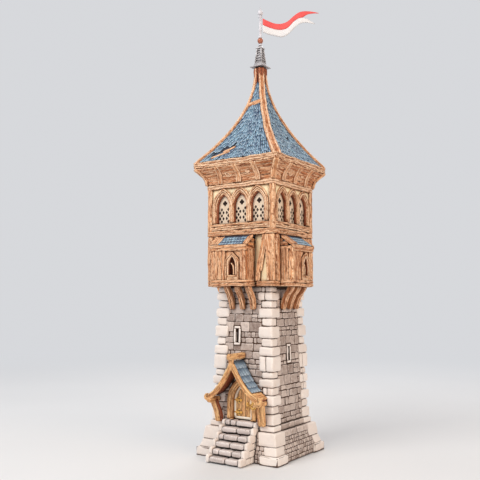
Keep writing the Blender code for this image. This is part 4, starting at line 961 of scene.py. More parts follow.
def bay_frame(heap, side):
    seed, foot = 260 + side * 60, BAY_LOW + BAY_BEAM / 2
    for number, lift in enumerate((-1.6, 1.5)):
        path = wavy(BAY_LEFT - 0.2, BAY_RIGHT + 0.2, BAY_FACE - 1.5, foot + lift, 0.7, seed + number)
        timber(heap, side, path, (3.1, 2.9)[number], 3.6, 0.45, seed + number, 0.45 + 0.3 * number)
    for sign, across in ((-1, BAY_LEFT + CHEEK_RAIL), (1, BAY_RIGHT - CHEEK_RAIL)):
        for up, tall, carve, own, tint in (
            (foot - 1.6, 3.0, 0.4, 2 + sign, 0.5), (foot + 1.4, 3.0, 0.4, 7 + sign, 0.8),
            (BAY_EAVE - 1.6, 2.8, 0.35, 6 + sign, None),
        ):
            beam(heap, side, (across, RAIL_START, up), (across, BAY_FACE, up), tall, 2.6, carve, seed + own, tint,
                 SIDEWAYS)
    lintel = (BAY_FACE - 1.2, BAY_EAVE - BAY_LINTEL / 2 - 0.2)
    beam(heap, side, (BAY_LEFT - 0.4, *lintel), (BAY_RIGHT + 0.4, *lintel), 4.6, 3.8, 0.4, seed + 8, 0.85)
    low, high = BAY_LOW + BAY_BEAM - 0.5, BAY_EAVE - BAY_LINTEL + 0.3
    for number, across in enumerate((BAY_LEFT + 2.5, BAY_RIGHT - 2.4)):
        beam(heap, side, (across, BAY_FACE - 2.2, low), (across, BAY_FACE - 2.2, high), 4.8, 5.6, 0.5,
             seed + 9 + number, wander=0.15)
    hook = [(BAY_LEFT + a, BAY_FACE + out, high + up)
            for a, out, up in ((1.9, -0.6, -8), (0.6, -0.4, -4), (-0.5, -0.4, 0), (0.9, -0.5, 3.0))]
    timber(heap, side, bent(hook), 2.6, 3.2, 0.3, seed + 12, taper=(0.7, 1.1))
    for number, across in enumerate(BRACKETS):
        curve = bent([(across, out, BAY_LOW + up) for out, up in BRACKET_CURVE])
        for right, lean in enumerate((-RIB_LEAN, RIB_LEAN)):
            timber(heap, side, curve + (lean, 0, 0), 2.3, 5.2, 0.5, seed + 14 + number + 5 * right,
                   0.25 + 0.6 * right, (0, 1, -0.6), (1.1, 0.9))


on_each_side(bay_frame, bay_timbers)

# %% [markdown]
# The window is a house-shaped plate with a raised rim. Its outline is not convex, because the light
# is cut out of it, so Blender's own polygon cutter divides its two faces into triangles.


# %% A solid with an outline that is not convex
def twice_area(outline):
    """Twice the area inside an outline, which is negative when it runs clockwise."""
    after = np.roll(outline, -1, axis=0)
    return (outline[:, 0] * after[:, 1] - after[:, 0] * outline[:, 1]).sum()


def flat_shape(heap, side, outline, low, high, tint, seed):
    """A solid between two distances out whose ends are cut into triangles."""
    outline, count = np.array(outline), len(outline)
    tris = tessellate_polygon([[Vector((a, up, 0)) for a, up in outline]])
    turned = twice_area(outline[list(tris[0])]) * twice_area(outline) < 0
    faces = [(i, i + count, (i + 1) % count + count, (i + 1) % count) for i in range(count)]
    for tri in tris:
        a, b, c = tri[::-1] if turned else tri
        faces += [(a, b, c, -1), (c + count, b + count, a + count, -1)]
    points = np.array([(a, out, up) for out in (low, high) for a, up in outline])
    points = points + uneven(points, 3.0, 0.12, seed)
    heap.add(points, faces, side, tint, np.repeat([0.0, 1.0], count), grain=points[:, [2, 0, 1]] + seed * 3.1)


print("twice the area of a square:", twice_area(np.array(block(0, 1, 0, 1))))

# %% [markdown]
# A board surrounds the light, in two halves that meet over the point. Rolls follow the light and
# the plate's gable, and recessed boards fill the corners between that gable and the lintel.

# %% The pointed window of a bay
WINDOW_SILL, WINDOW_SPRING, WINDOW_RISE, WINDOW_HALF = BAY_LOW + 10.3, BAY_LOW + 18.5, 9.5, 4.2
PLATE_HALF, PLATE_SHOULDER, PLATE_PEAK = 7.5, BAY_LOW + 25.0, BAY_LOW + 32.2
RIM, RIM_OUT = PLATE_HALF - 0.6, BAY_FACE + 0.1
FINE = {"step": 1.0, "fine": 0.6, "wander": 0.05}


def bay_window(heap, pale, dark, shade_sheet, side):
    seed, foot = 330 + side * 60, BAY_LOW + BAY_BEAM - 0.2
    for sign in (-1, 1):
        light = [(sign * a, under_arch(a, WINDOW_HALF, WINDOW_RISE, WINDOW_SPRING))
                 for a in WINDOW_HALF * (1 - np.linspace(0, 1, 6))]
        outline = [(0.0, foot), (0.0, WINDOW_SILL), (sign * WINDOW_HALF, WINDOW_SILL)] + light
        outline += [(0.0, PLATE_PEAK), (sign * PLATE_HALF, PLATE_SHOULDER), (sign * PLATE_HALF, foot)]
        flat_shape(heap, side, outline, BAY_FACE - 1.9, RIM_OUT, 0.5, seed)
        top = BAY_EAVE - BAY_LINTEL
        prism(heap, side, [(sign * 8.4, PLATE_SHOULDER), (sign * 8.4, top), (0.0, top)], BAY_FACE - 3.0,
              BAY_FACE - 1.5, 0.6, seed + 6)
    roll = arch_line(WINDOW_HALF + 0.45, WINDOW_SILL, WINDOW_SPRING, WINDOW_RISE + 0.6)
    timber(pale, side, at_out(roll, RIM_OUT), 1.2, 1.3, 0.06, seed + 1, 0.8, **FINE)
    gable = [(-RIM, BAY_LOW + BAY_BEAM), (-RIM, PLATE_SHOULDER - 0.3), (0, PLATE_PEAK - 0.9),
             (RIM, PLATE_SHOULDER - 0.3), (RIM, BAY_LOW + BAY_BEAM)]
    timber(heap, side, at_out(gable, RIM_OUT), 1.3, 1.5, 0.12, seed + 2, 0.8, **FINE)
    beam(heap, side, (-RIM, RIM_OUT, WINDOW_SILL - 1.0), (RIM, RIM_OUT, WINDOW_SILL - 1.0), 1.6, 1.7, 0.15, seed + 3,
         0.9)
    # The dark roll in the window's jamb is painted shade.
    arch_roll(dark, side, WINDOW_HALF + 0.1, WINDOW_RISE + 0.2, 0.7, BAY_FACE - 3.4, BAY_FACE - 0.3, 0.05, seed + 5,
              0.2, WINDOW_SILL, WINDOW_SPRING, wander=0.0)
    # Inner tracery: a short bar that hooks over under the point.
    bar = [(1.0, WINDOW_SILL), (1.0, WINDOW_SPRING - 3), (0.4, WINDOW_SPRING + 1.5), (-1.9, WINDOW_SPRING + 3.0)]
    timber(heap, side, bent(at_out(bar, BAY_FACE - 1.6)), 1.4, 1.4, 0.05, seed + 4, 0.8, **FINE)
    # Dark boards inside the bay, behind the light and on its floor, are painted shade.
    prism(shade_sheet, side, block(BAY_LEFT + 2.5, BAY_RIGHT - 2.5, BAY_LOW + 2, BAY_EAVE - 1), BAY_FACE - 6.5,
          BAY_FACE - 5.5, 0.2, seed)
    prism(shade_sheet, side, block(BAY_LEFT + 0.8, BAY_RIGHT - 0.8, BAY_LOW + 0.3, BAY_LOW + 1.5), CORE_FACE,
          BAY_FACE - 2.0, 0.2, seed)


pale_rolls, shaded_reveals = Heap(), Heap()
on_each_side(bay_window, bay_timbers, pale_rolls, shaded_reveals, shade_sheets)

# %% [markdown]
# Barge rails edge the little roof, an eave rail closes it in front, and its slates are the same
# slabs as on the porch, laid between the rails. Boards lie between the slates and the barge rails.

# %% Roof of a bay
BAY_SLATE_ROWS, BAY_SLATE_WIDTH, FIRST_SLATE, LAST_SLATE = 3, 3.4, -15.5, 11.5
BAY_ROOF_FOOT, BAY_ROOF_HEAD = np.array((BAY_FACE + 0.3, BAY_EAVE + 0.6)), np.array((TUCK_OUT + 0.2, TUCK_UP + 0.9))
BAY_ROOF_RUN = BAY_ROOF_HEAD - BAY_ROOF_FOOT
BAY_ROOF_NORMAL = unit(np.array((BAY_ROOF_RUN[1], -BAY_ROOF_RUN[0])))


def up_slope(across, lift, start=0.0):
    """A path from the eave of a bay's roof to its head."""
    return [(across, *(BAY_ROOF_FOOT + BAY_ROOF_NORMAL * lift + BAY_ROOF_RUN * start)),
            (across, *(BAY_ROOF_HEAD + BAY_ROOF_NORMAL * 0.3))]


def bay_roof(heap, slates, side):
    seed, normal, width = 450 + side * 60, (0, *BAY_ROOF_NORMAL), BAY_SLATE_WIDTH
    for sign, edge in ((-1, BAY_LEFT - 0.1), (1, BAY_RIGHT + 0.1)):
        timber(heap, side, up_slope(edge, 0.3), 3.0, 2.6, 0.4, seed + sign, 0.8, normal)
    eave = (BAY_FACE + 0.3, BAY_EAVE - 0.4)
    beam(heap, side, (BAY_LEFT - 1.0, *eave), (BAY_RIGHT + 1.0, *eave), 2.8, 2.4, 0.35, seed + 3, 0.7)
    for row in range(BAY_SLATE_ROWS):
        share = 0.02 + row * 0.94 / BAY_SLATE_ROWS
        low = BAY_ROOF_FOOT + BAY_ROOF_RUN * share
        high = BAY_ROOF_FOOT + BAY_ROOF_RUN * min(share + 1.6 * 0.92 / BAY_SLATE_ROWS, 0.99)
        first = FIRST_SLATE - (row % 2) * width / 2
        for number in range(10):
            begin = max(first + number * width, FIRST_SLATE)
            end = min(first + (number + 1) * width - 0.5, LAST_SLATE)
            if end - begin >= LEAST_SLATE:
                middle = (begin + end) / 2
                slate(slates, side, (middle, *low), (middle, *high), SIDEWAYS, end - begin, normal, 0.6, 0.7,
                      seed * 3 + row * 13 + number)
    for number, across in enumerate((-22.3, -19.8, -17.2, 13.2)):
        timber(heap, side, up_slope(across, 0.55, 0.03), 2.5, 1.8, 0.35, seed + 6 + number, None, normal)


small_slates = Heap()
on_each_side(bay_roof, bay_timbers, small_slates)
print("slates on the bays:", len(small_slates.points))

# %% [markdown]
# The upper storey is an arcade of three pointed arches on each side. The pierced panels behind it
# are the frame's own solids. Carved rails lie below, a plate of two wavy rolls lies above with a
# dark line in it, and plain posts stand at the corners.

# %% Sill rails, posts and plate
UPPER_LOW = levels("upper_frame")[0]
ARCADE_LOW, ARCADE_HIGH = levels("front_arcade")
PLATE_LOW, UPPER_FACE = ARCADE_HIGH + 0.3, 38.4
# A rail is given by its height, its own size, how proud it is, how wavy it is and its tint.
SILL_RAILS = ((1.7, 3.2, 0.3, 0.5, 0.3), (4.3, 2.5, 0.35, 0.8, 0.55), (7.1, 1.9, -0.5, 1.1, 1.0),
              (8.9, 1.9, 0.1, 1.3, 0.2), (11.0, 2.3, 0.25, 1.2, 0.5))


def upper_rails(heap, pale, side):
    seed, reach, post = 700 + side * 40, UPPER_FACE - 0.4, UPPER_FACE - 2.6
    for number, (up, tall, proud, lift, tint) in enumerate(SILL_RAILS):
        path = wavy(-reach, reach, UPPER_FACE - 2.2 + proud, UPPER_LOW + up, lift, seed + number, 18)
        timber(pale if tint == 1.0 else heap, side, path, tall, 4.2, 0.35, seed + number, tint)
    for number, (up, tall) in enumerate(((1.0, 2.0), (3.1, 2.1))):
        path = wavy(-reach - 0.3, reach + 0.3, UPPER_FACE - 1.8, PLATE_LOW + up, 0.6, seed + 5)
        timber(pale, side, path, tall, 5.0, 0.3, seed + 5 + number, 0.2 + 0.5 * number)
    beam(heap, side, (post, post, UPPER_LOW + 4.6), (post, post, PLATE_LOW + 1.0), 5.7, 5.7, 0.45, seed + 8, 0.75,
         wander=0.15)


upper_timbers = Heap()
on_each_side(upper_rails, upper_timbers, pale_rolls)

# %% [markdown]
# Each arch is rolls with grooves between them. Under the rolls a mullion runs down, and where two
# arches meet, its head parts in a Y. Cream plaster fills the corners above, as one strip with a
# pointed cut for each arch.

# %% Moulded arches
ARCH_PITCH, ARCH_HALF, ARCH_RISE, ARCH_SPRING = 19.9, 7.5, 12.4, ARCADE_LOW + 15.9
ARCADE_FACE, OUTER_MULLION, MULLION_OUT = 37.2, 31.2, 36.4


def arch_rolls(heap, dark, pale, side, number):
    seed = 860 + side * 40 + number
    # The innermost, dark roll of each arch is painted shade in the reveal.
    for own, grow, lift, width, low, high, carve, shift, tint, wander in (
        (dark, 0.05, 0.1, 1.0, 33.6, 36.6, 0.1, 12, 0.25, 0.05), (heap, 1.2, 1.5, 1.7, 34.6, 37.5, 0.2, 0, 0.55, 0.1),
        (pale, 2.7, 3.2, 1.1, 35.0, 38.2, 0.1, 4, 0.8, 0.1), (heap, 4.3, 5.6, 1.7, 35.2, 38.0, 0.15, 8, 0.6, 0.1),
    ):
        arch_roll(own, side, ARCH_HALF + grow, ARCH_RISE + lift, width, low, high, carve, seed + shift, tint,
                  ARCADE_LOW, ARCH_SPRING, ARCH_PITCH * number, wander)


def arcade(heap, dark, pale, fill, shade_sheet, side):
    seed = 860 + side * 40
    for number in (-1, 0, 1):
        arch_rolls(heap, dark, pale, side, number)
    for number in (-1.5, -0.5, 0.5, 1.5):
        inner = abs(number) < 1
        middle = math.copysign(min(ARCH_PITCH * abs(number), OUTER_MULLION), number)
        stem = bent(at_out([(middle, ARCADE_LOW + 0.2), (middle, ARCH_SPRING + 2)], MULLION_OUT))
        timber(heap, side, stem, 2.6 if inner else 1.6, 3.4, 0.35, seed + 20 + int(number * 2), 0.6)
        for sign in (-1, 1) if inner else ():
            limb = [(middle + sign * a, out, ARCH_SPRING + up)
                    for a, out, up in ((0.3, 37.0, 0), (0.9, 37.1, 5), (3.4, 37.1, 10))]
            timber(pale, side, bent(limb), 1.2, 2.4, 0.1, seed + 26 + sign, 0.8, taper=(1.1, 0.7))
    reach = UPPER_FACE - 5.9
    outline = [(-reach, ARCADE_HIGH), (-reach, ARCADE_LOW + 13)]
    for number in (-1, 0, 1):
        outline += arch_line(ARCH_HALF + 0.8, ARCH_SPRING - 2, ARCH_SPRING, ARCH_RISE + 1.0, ARCH_PITCH * number)
    outline += [(reach, ARCADE_LOW + 13), (reach, ARCADE_HIGH)]
    flat_shape(fill, side, outline, 35.4, ARCADE_FACE - 0.4, 0.8, seed)
    # A dark board behind the pierced panels is painted shade seen through the holes.
    prism(shade_sheet, side, block(-30, 30, ARCADE_LOW - 9, ARCADE_HIGH + 4), 29.5, 30.5, 0.2, seed)


on_each_side(arcade, upper_timbers, shaded_reveals, pale_rolls, plaster, shade_sheets)

# %% [markdown]
# The panels of the frame are pierced. A thin dark patch over and round each hole makes it read at
# this small size: it is painted shade that widens the dark of the hole, and partly the model's wash.
# So a flat dark plate of paint a fifth of a millimetre thick lies over each hole and round it.

# %% Wash and painted shade over the piercings
PANEL_FACE = 33.9
LOZENGE, LOZENGE_PITCH, LOZENGE_ROWS = (1.3, 1.8), (3.9, 2.95), 5
LOBE, LOBE_REACH, LOBES_UP = 1.2, 1.45, ARCADE_LOW + 19.9


def circle(across, up, radius, count):
    """(across, up) points on a circle."""
    angles = np.linspace(0, 2 * math.pi, count, endpoint=False)
    return [(across + radius * math.cos(t), up + radius * math.sin(t)) for t in angles]


def wash_and_shade_holes(heap, side):
    for middle in (-ARCH_PITCH, 0.0, ARCH_PITCH):
        outlines = []
        for row in range(LOZENGE_ROWS):
            level = ARCADE_LOW + 13.8 - LOZENGE_PITCH[1] * row
            for place in (-1.5, -0.5, 0.5, 1.5) if row % 2 else (-1, 1):
                across = middle + LOZENGE_PITCH[0] * place
                outlines.append([(across + LOZENGE[0] * x, level + LOZENGE[1] * y)
                                 for x, y in ((-1, 0), (0, -1), (1, 0), (0, 1))])
        outlines += [circle(*centre, LOBE, 10) for centre in circle(middle, LOBES_UP, LOBE_REACH, 4)]
        for outline in outlines:
            prism(heap, side, outline, PANEL_FACE + 0.02, PANEL_FACE + 0.2, 0.1, rough=0.0, inset=0.05)


hole_wash_and_shade = Heap()
on_each_side(wash_and_shade_holes, hole_wash_and_shade)

# %% [markdown]
# Under the eaves a cove sweeps out. It is boarded lengthwise, and curved ribs divide it into bays.
# Every board follows the cove's section, so its path runs across at one place on that curve. The
# rib over the corner stands square to the hip.

# %% The cove and its ribs
COVE_LOW, COVE_HIGH = levels("eaves_cove")
COVE_FOOT, COVE_HEAD, COVE_BOARDS, RIB_PITCH = UPPER_FACE, 47.6, 5, 21.5


def cove_at(t, proud=0.0):
    """(out, up) on the cove's section from its foot to its head, a curve with two handles."""
    knots = ((COVE_FOOT + proud, COVE_LOW), (COVE_FOOT + proud, COVE_LOW + (COVE_HIGH - COVE_LOW) / 2),
             (COVE_HEAD - 4 + proud / 2, COVE_HIGH - 4), (COVE_HEAD + proud / 2, COVE_HIGH))
    weights = ((1 - t) ** 3, 3 * t * (1 - t) ** 2, 3 * t * t * (1 - t), t**3)
    return sum(w * np.asarray(p) for w, p in zip(weights, knots))


def cove(heap, pale, side):
    seed, places = 1000 + side * 40, np.linspace(0, 1, 9)
    for number in range(COVE_BOARDS):
        t = (number + 0.5) / COVE_BOARDS
        out, up = cove_at(t, -0.6)
        ahead = cove_at(t + 0.03) - cove_at(t - 0.03)
        wide = np.linalg.norm(cove_at((number + 1) / COVE_BOARDS) - cove_at(number / COVE_BOARDS)) + 0.3
        path = wavy(-out + 0.5, out - 0.5, out, up, 0.8, seed + number, 22)
        timber(heap, side, path, wide, 2.0, 0.55, seed + number, 0.12 * (number % 3), (0, ahead[1], -ahead[0]))
    for number in (-1, 0, 1):
        sway = [RIB_PITCH * number + 0.4 * math.sin(5 * t + number) for t in places]
        rib = [(a, *cove_at(t, 0.35)) for a, t in zip(sway, places)]
        timber(heap, side, rib, 4.6, 2.6, 0.5, seed + 10 + number, 0.75, (0, 1, -0.7))
        for shift, wide in ((-2.1, 1.2), (0.1, 0.8), (2.1, 1.2)):
            edge = [(a + shift, *cove_at(t, 1.05)) for a, t in zip(sway, places)]
            timber(pale, side, edge, wide, 1.5, 0.1, seed + 14 + number, 0.6, (0, 1, -0.7))
    corner = [cove_at(t, 0.25)[[0, 0, 1]] for t in places]
    timber(heap, side, corner, 5.6, 3.0, 0.5, seed + 20, 0.8, (1, 1, -0.7))


eave_timbers = Heap()
on_each_side(cove, eave_timbers, pale_rolls)

# %% [markdown]
# Two knots on each side are carved as swirls of rings. The eave beams rise at the corners, where
# the hips come down on them: a broad wavy line below and slender light ones over it.

# %% Knots and eave beams
EAVE_LOW, EAVE_HIGH = levels("eave_beams")
EAVE_FACE = 48.7
KNOTS = ((-10.8, 0.45, 3.2, 1100), (11.5, 0.5, 2.4, 1110))
EAVE_LINES = ((-1.7, 1.9, 0.0, 0.35), (-0.1, 1.5, 0.3, 0.95), (1.3, 1.5, 0.0, 0.5), (2.5, 1.2, 0.4, 1.0))


def knots(pale, side):
    for a, t, radius, seed in KNOTS:
        out, up = cove_at(t, 0.2)
        for number, size in enumerate((1.0, 0.62, 0.28)):
            reach = radius * size
            swirl = [(a + reach * math.cos(s), out + 0.3 * reach * math.sin(s), up + 0.8 * reach * math.sin(s))
                     for s in np.linspace(0.2, 6.2, 15)]
            timber(pale, side, swirl, 0.9, 1.2, 0.08, seed + side + number, 0.6, (0, 1, -0.4), step=1.0, fine=0.6)


def eave_beam(heap, pale, side):
    seed, middle = 1150 + side * 20, (EAVE_LOW + EAVE_HIGH) / 2 - 0.2
    for number, (lift, tall, proud, tint) in enumerate(EAVE_LINES):
        path = []
        for t in np.linspace(-1, 1, 25):
            rise = 0.9 * abs(t) ** 5 + 0.9 * noise.noise((t * 4.5, side * 3.1, 0.7))
            rise += 0.25 * noise.noise((t * 9, number, 2))
            path.append(((EAVE_FACE - 0.4) * t, EAVE_FACE - 2.0 + proud, middle + lift + rise))
        timber(pale if tint > 0.9 else heap, side, path, tall, 3.6, 0.2, seed + number, tint - 0.3)


on_each_side(knots, pale_rolls)
on_each_side(eave_beam, eave_timbers, pale_rolls)

# %% [markdown]
# The roof is bell-cast: it runs out flat over the eaves and then rises steeply. Its half width at
# a level follows one power curve, which slates, hips and boards all read.

# %% The roof's curve
ROOF_LOW, ROOF_HIGH = levels("roof")
ROOF_FOOT, ROOF_TOP, ROOF_POWER = 47.4, 3.6, 1.95
SLATE_PITCH, SLATE_WIDTH = 4.8, 2.3


def roof_face(up):
    share = np.clip((up - ROOF_LOW) / (ROOF_HIGH - ROOF_LOW), 0, 1)
    return ROOF_TOP + (ROOF_FOOT - ROOF_TOP) * (1 - share) ** ROOF_POWER


def roof_stations(pitch):
    """Levels that lie an even distance apart along the slope."""
    ups = np.linspace(ROOF_LOW, ROOF_HIGH, 400)
    lengths = np.concatenate([[0], np.cumsum(np.hypot(np.diff(ups), np.diff(roof_face(ups))))])
    return np.interp(np.arange(0, lengths[-1], pitch), lengths, ups)


roof_rows = roof_stations(SLATE_PITCH)
print("rows of slates:", len(roof_rows))

# %% [markdown]
# Narrow slates lie in rows, each with its own length, tilt and lift. In a few broken places they
# are missing.


# %% Slates of the roof
def in_gap(side, a, up):
    """The broken places, where slates are missing and battens show."""
    if side == 0:
        return -32.5 < a < -6.0 and abs(up - 291.4 - (a + 18) * 0.30) < 2.9
    if side == 1:
        return 301.0 < up < 308.0 and 2.0 < a < 9.0
    return side == 2 and 310.0 < up < 318.0 and -8.0 < a < 1.0


def lay_roof(heap, side):
    chance = random.Random(90 + side)
    for row, low in enumerate(roof_rows[:-1]):
        high = low + (roof_rows[min(row + 2, len(roof_rows) - 1)] - low) * 0.82
        if high > ROOF_HIGH - 9:
            break
        foot, head = roof_face(low), roof_face(high)
        reach = foot - 1.2
        count = max(1, round(2 * reach / SLATE_WIDTH))
        width = 2 * reach / count
        shift = width / 2 if row % 2 else 0.0
        for number in range(count + 1):
            middle = -reach + width * (number + 0.5) - shift
            first, last = max(middle - width / 2, -reach), min(middle + width / 2, reach)
            if last - first < 0.8 or in_gap(side, middle, low):
                continue
            drop, tilt = chance.uniform(-2.6, 2.2), chance.uniform(-0.12, 0.12)
            middle, start = (first + last) / 2, max(low + drop * 0.6, ROOF_LOW + 0.3)
            slate(heap, side, (middle + chance.uniform(-0.3, 0.1), float(roof_face(start)), start),
                  (middle * (head / foot) + 0.7, head, high), (1, tilt * 0.4, tilt),
                  last - first - chance.uniform(0.25, 0.8), (0, high - low, foot - head), 0.45,
                  0.35 + chance.uniform(0, 0.4), side * 9000 + row * 110 + number)


roof_slates = Heap()
on_each_side(lay_roof, roof_slates)

# %% [markdown]
# Wavy timbers cover the hips from the eaves to the crown, with a light roll on both edges. Posts
# and caps in a darker red close the crown under the lantern.

# %% Hips and crown
CROWN_LOW = ROOF_HIGH + 0.3
ON_HIP = (1, 1, 0.8)


def hip(heap, pale, side):
    seed, centre, left, right = 1300 + side * 20, [], [], []
    for up in np.concatenate([[ROOF_LOW - 1.2], roof_stations(3.0)[1:], [ROOF_HIGH + 2.4]]):
        face = float(roof_face(up))
        sway = 0.7 * noise.noise((up / 17.0, side * 2.3, 0.1)) * min(1.0, face / 12)
        a, out = face - 0.5 + sway, face - 0.5 - sway
        roll = 1.75 * (0.75 + 0.4 * face / ROOF_FOOT)
        centre.append((a, out, up))
        left.append((a - roll + 0.75, out + roll + 0.75, up + 0.35))
        right.append((a + roll + 0.75, out - roll + 0.75, up + 0.35))
    timber(heap, side, centre, 8.6, 3.4, 0.5, seed, 0.35, ON_HIP, (1.0, 0.62))
    for number, path in enumerate((left, right)):
        timber(pale, side, path, 1.7, 1.6, 0.2, seed + 1 + number, 0.3, ON_HIP, (1.1, 0.8))


def crown_cap(heap, side):
    cap = [(float(roof_face(up)) + 0.1,) * 2 + (up,) for up in (ROOF_HIGH - 5, ROOF_HIGH - 2, ROOF_HIGH + 2.4)]
    timber(heap, side, cap, 5.6, 3.0, 0.25, 1440 + side, facing=ON_HIP, taper=(0.9, 1.05))


roof_timbers, crown_posts = Heap(), Heap()
on_each_side(hip, roof_timbers, pale_rolls)
for number, sign in enumerate((-1, 1)):
    for side in range(4):
        foot, head = (sign * 2.3, 4.9, ROOF_HIGH - 13.0), (sign * 1.9, 4.4, CROWN_LOW + 3.3)
        beam(crown_posts, side, foot, head, 3.2, 1.8, 0.3, 1420 + side * 2 + number)
on_each_side(crown_cap, crown_posts)

# %% [markdown]
# A collar crosses the front and the back high up, and two thin battens show in the broken place.

# %% Collar and battens
COLLAR_UP = 345.5
COLLAR_FACE = float(roof_face(COLLAR_UP))
BATTENS = ((288.6, 2.6, -29.0, -9.5), (293.6, 2.4, -17.5, -5.5))

for side in (0, 2):
    beam(roof_timbers, side, (1 - COLLAR_FACE, COLLAR_FACE + 0.7, COLLAR_UP - 1.5),
         (COLLAR_FACE - 1, COLLAR_FACE + 0.7, COLLAR_UP + 1.5), 4.6, 2.2, 0.4, 1400 + side, 0.9)
for number, (up, tilt, first, last) in enumerate(BATTENS):
    ends = [(a, float(roof_face(level)) + 0.9, level) for a, level in ((first, up - tilt), (last, up + tilt))]
    beam(roof_timbers, 0, *ends, 2.9, 1.4, 0.25, 1410 + number, 1.0, (0, 1, 1))
print("roof timbers:", len(roof_timbers.points))

# %% [markdown]
# A small metal lantern crowns the roof: a flared skirt, a tapering body with louvres on its faces
# and a little cap.

# %% The lantern
LANTERN_LOW = levels("lantern")[0]
SKIRT_TALL, LANTERN_TALL, SKIRT_LIP = 4.4, 15.5, 0.7
BODY_LOW, BODY_HIGH = LANTERN_LOW + SKIRT_TALL, LANTERN_LOW + SKIRT_TALL + LANTERN_TALL
SKIRT_HALF, SKIRT_TOP, BODY_FOOT, BODY_HEAD = 8.05, 4.5, 4.45, 2.7
LOUVRES, LOUVRE_START, LOUVRE_PITCH = 6, 0.7, 2.75


def square_rings(heap, pairs, tint, soft, edges=None):
    """A square turned shape from (half width, level) pairs, with softened corners."""
    rows = []
    for half, up in pairs:
        near = half - half * soft
        rows.append([(x * a, y * out, up) for x, y, a, out in (
            (1, 1, half, near), (1, 1, near, half), (-1, 1, near, half), (-1, 1, half, near),
            (-1, -1, half, near), (-1, -1, near, half), (1, -1, near, half), (1, -1, half, near))])
    rings(heap, 0, rows, tint, 0.35 if edges is None else np.append(np.repeat(edges, 8), [0.0, 0.0]))


def body_half(up):
    return BODY_FOOT + (BODY_HEAD - BODY_FOOT) * (up - BODY_LOW) / LANTERN_TALL


def louvres(heap, side):
    foot, head = body_half(BODY_LOW), body_half(BODY_HIGH)
    for sign in (-1, 1):
        wire(heap, side, [(sign * (foot - 0.5), foot - 0.5, BODY_LOW - 0.2),
                          (sign * (head - 0.35), head - 0.4, BODY_HIGH + 0.2)], 1.15, 1.2)
    for number in range(LOUVRES):
        up = BODY_LOW + LOUVRE_START + number * LOUVRE_PITCH
        half = body_half(up)
        wire(heap, side, [(0.5 - half, half - 0.45, up + 0.15), (half - 0.5, half - 0.45, up - 0.15)], 1.15, 0.9,
             (0, 1, -0.8))


skirt = [(6.6, LANTERN_LOW + 0.1), (8.0, LANTERN_LOW + 0.15), (SKIRT_HALF, LANTERN_LOW + SKIRT_LIP)]
for t in np.linspace(0.12, 1.0, 8):
    skirt.append((SKIRT_HALF + (SKIRT_TOP - SKIRT_HALF) * math.sin(t * math.pi / 2) ** 0.8,
                  LANTERN_LOW + SKIRT_LIP + (SKIRT_TALL - SKIRT_LIP) * t**1.35))
body = [(body_half(BODY_LOW) - 0.9, BODY_LOW - 0.5), (body_half(BODY_HIGH) - 0.7, BODY_HIGH + 0.3)]
cap = [(half, BODY_HIGH + up) for half, up in ((3.0, 0), (3.65, 0.3), (3.6, 1.0), (2.2, 2.1), (1.35, 3.5))]
lantern_metal = Heap()
square_rings(lantern_metal, skirt, 0.6, 0.06, [0, 1, 1] + [0.3] * 8)
square_rings(lantern_metal, body, 0.0, 0.12)
on_each_side(louvres, lantern_metal)
square_rings(lantern_metal, cap, 0.7, 0.08, [0, 1, 1, 0.4, 0.4])
print("lantern shapes:", len(lantern_metal.points))

# %% [markdown]
# The pole above it is turned, so its shape is one profile carried round. A copper ball sits near
# its foot, and a smaller pale one near its tip.

# %% The turned pole and its copper ball
POLE_LOW, POLE_HIGH = levels("finial_pole")
POLE, COLLAR, BALL, TOP_BALL = 1.25, 2.05, 2.95, 2.85
BALL_UP = POLE_LOW + 5.2
POLE_FOOT = BALL_UP + 3.0
POLE_HEAD = POLE_FOOT + 22.0
TOP_BALL_UP = POLE_HEAD + 4.7


def turned(heap, base, *profile):
    """A round shape from (radius, height over the base) pairs."""
    angles = np.linspace(0, 2 * math.pi, 28, endpoint=False)
    rows = [[(radius * math.cos(a), radius * math.sin(a), base + up) for a in angles] for radius, up in profile]
    rings(heap, 0, rows, 0.6, 0.3)


def ball(radius, neck):
    start = math.asin(neck / radius)
    return [(radius * math.cos(a), radius * math.sin(a))
            for a in np.linspace(-math.pi / 2 + start, math.pi / 2 - start, 12)]


pole_metal, copper = Heap(), Heap()
turned(pole_metal, POLE_LOW, (1.6, 0), (1.75, 0.6), (1.1, 1.4), (1.0, 2.8))
turned(copper, BALL_UP, *ball(BALL, 0.9))
turned(copper, BALL_UP, (1.2, -3.0), (2.2, -2.4), (2.3, -2.0), (1.6, -1.4))
turned(pole_metal, POLE_FOOT, (1.3, -0.7), (COLLAR, -0.1), (COLLAR + 0.1, 0.5), (COLLAR - 0.5, 1.3), (POLE, 2.0),
       (POLE, 7.3), (POLE + 0.5, 7.8), (POLE + 0.5, 8.5), (POLE, 9.0), (POLE, 21.8), (COLLAR, 22.3), (COLLAR, 23.4),
       (1.2, 24.0))
turned(pole_metal, TOP_BALL_UP, *ball(TOP_BALL, 0.8))
turned(pole_metal, TOP_BALL_UP, (1.3, 2.3), (1.25, 3.0), (0.55, 4.4), (0.25, POLE_HIGH - 0.05 - TOP_BALL_UP))
print("the pole ends at", round(POLE_HIGH, 1), "mm")

# %% [markdown]
# The pennon is a rigid printed piece, painted coral red over white, with two tails. One sheet of
# points is bent along its wave and given a thickness that thins towards the tails.

# %% The pennon
PENNON_ANGLE, PENNON_WAVE, PENNON_REACH, HOIST = math.radians(32.0), 1.6, 60.5, 2.4
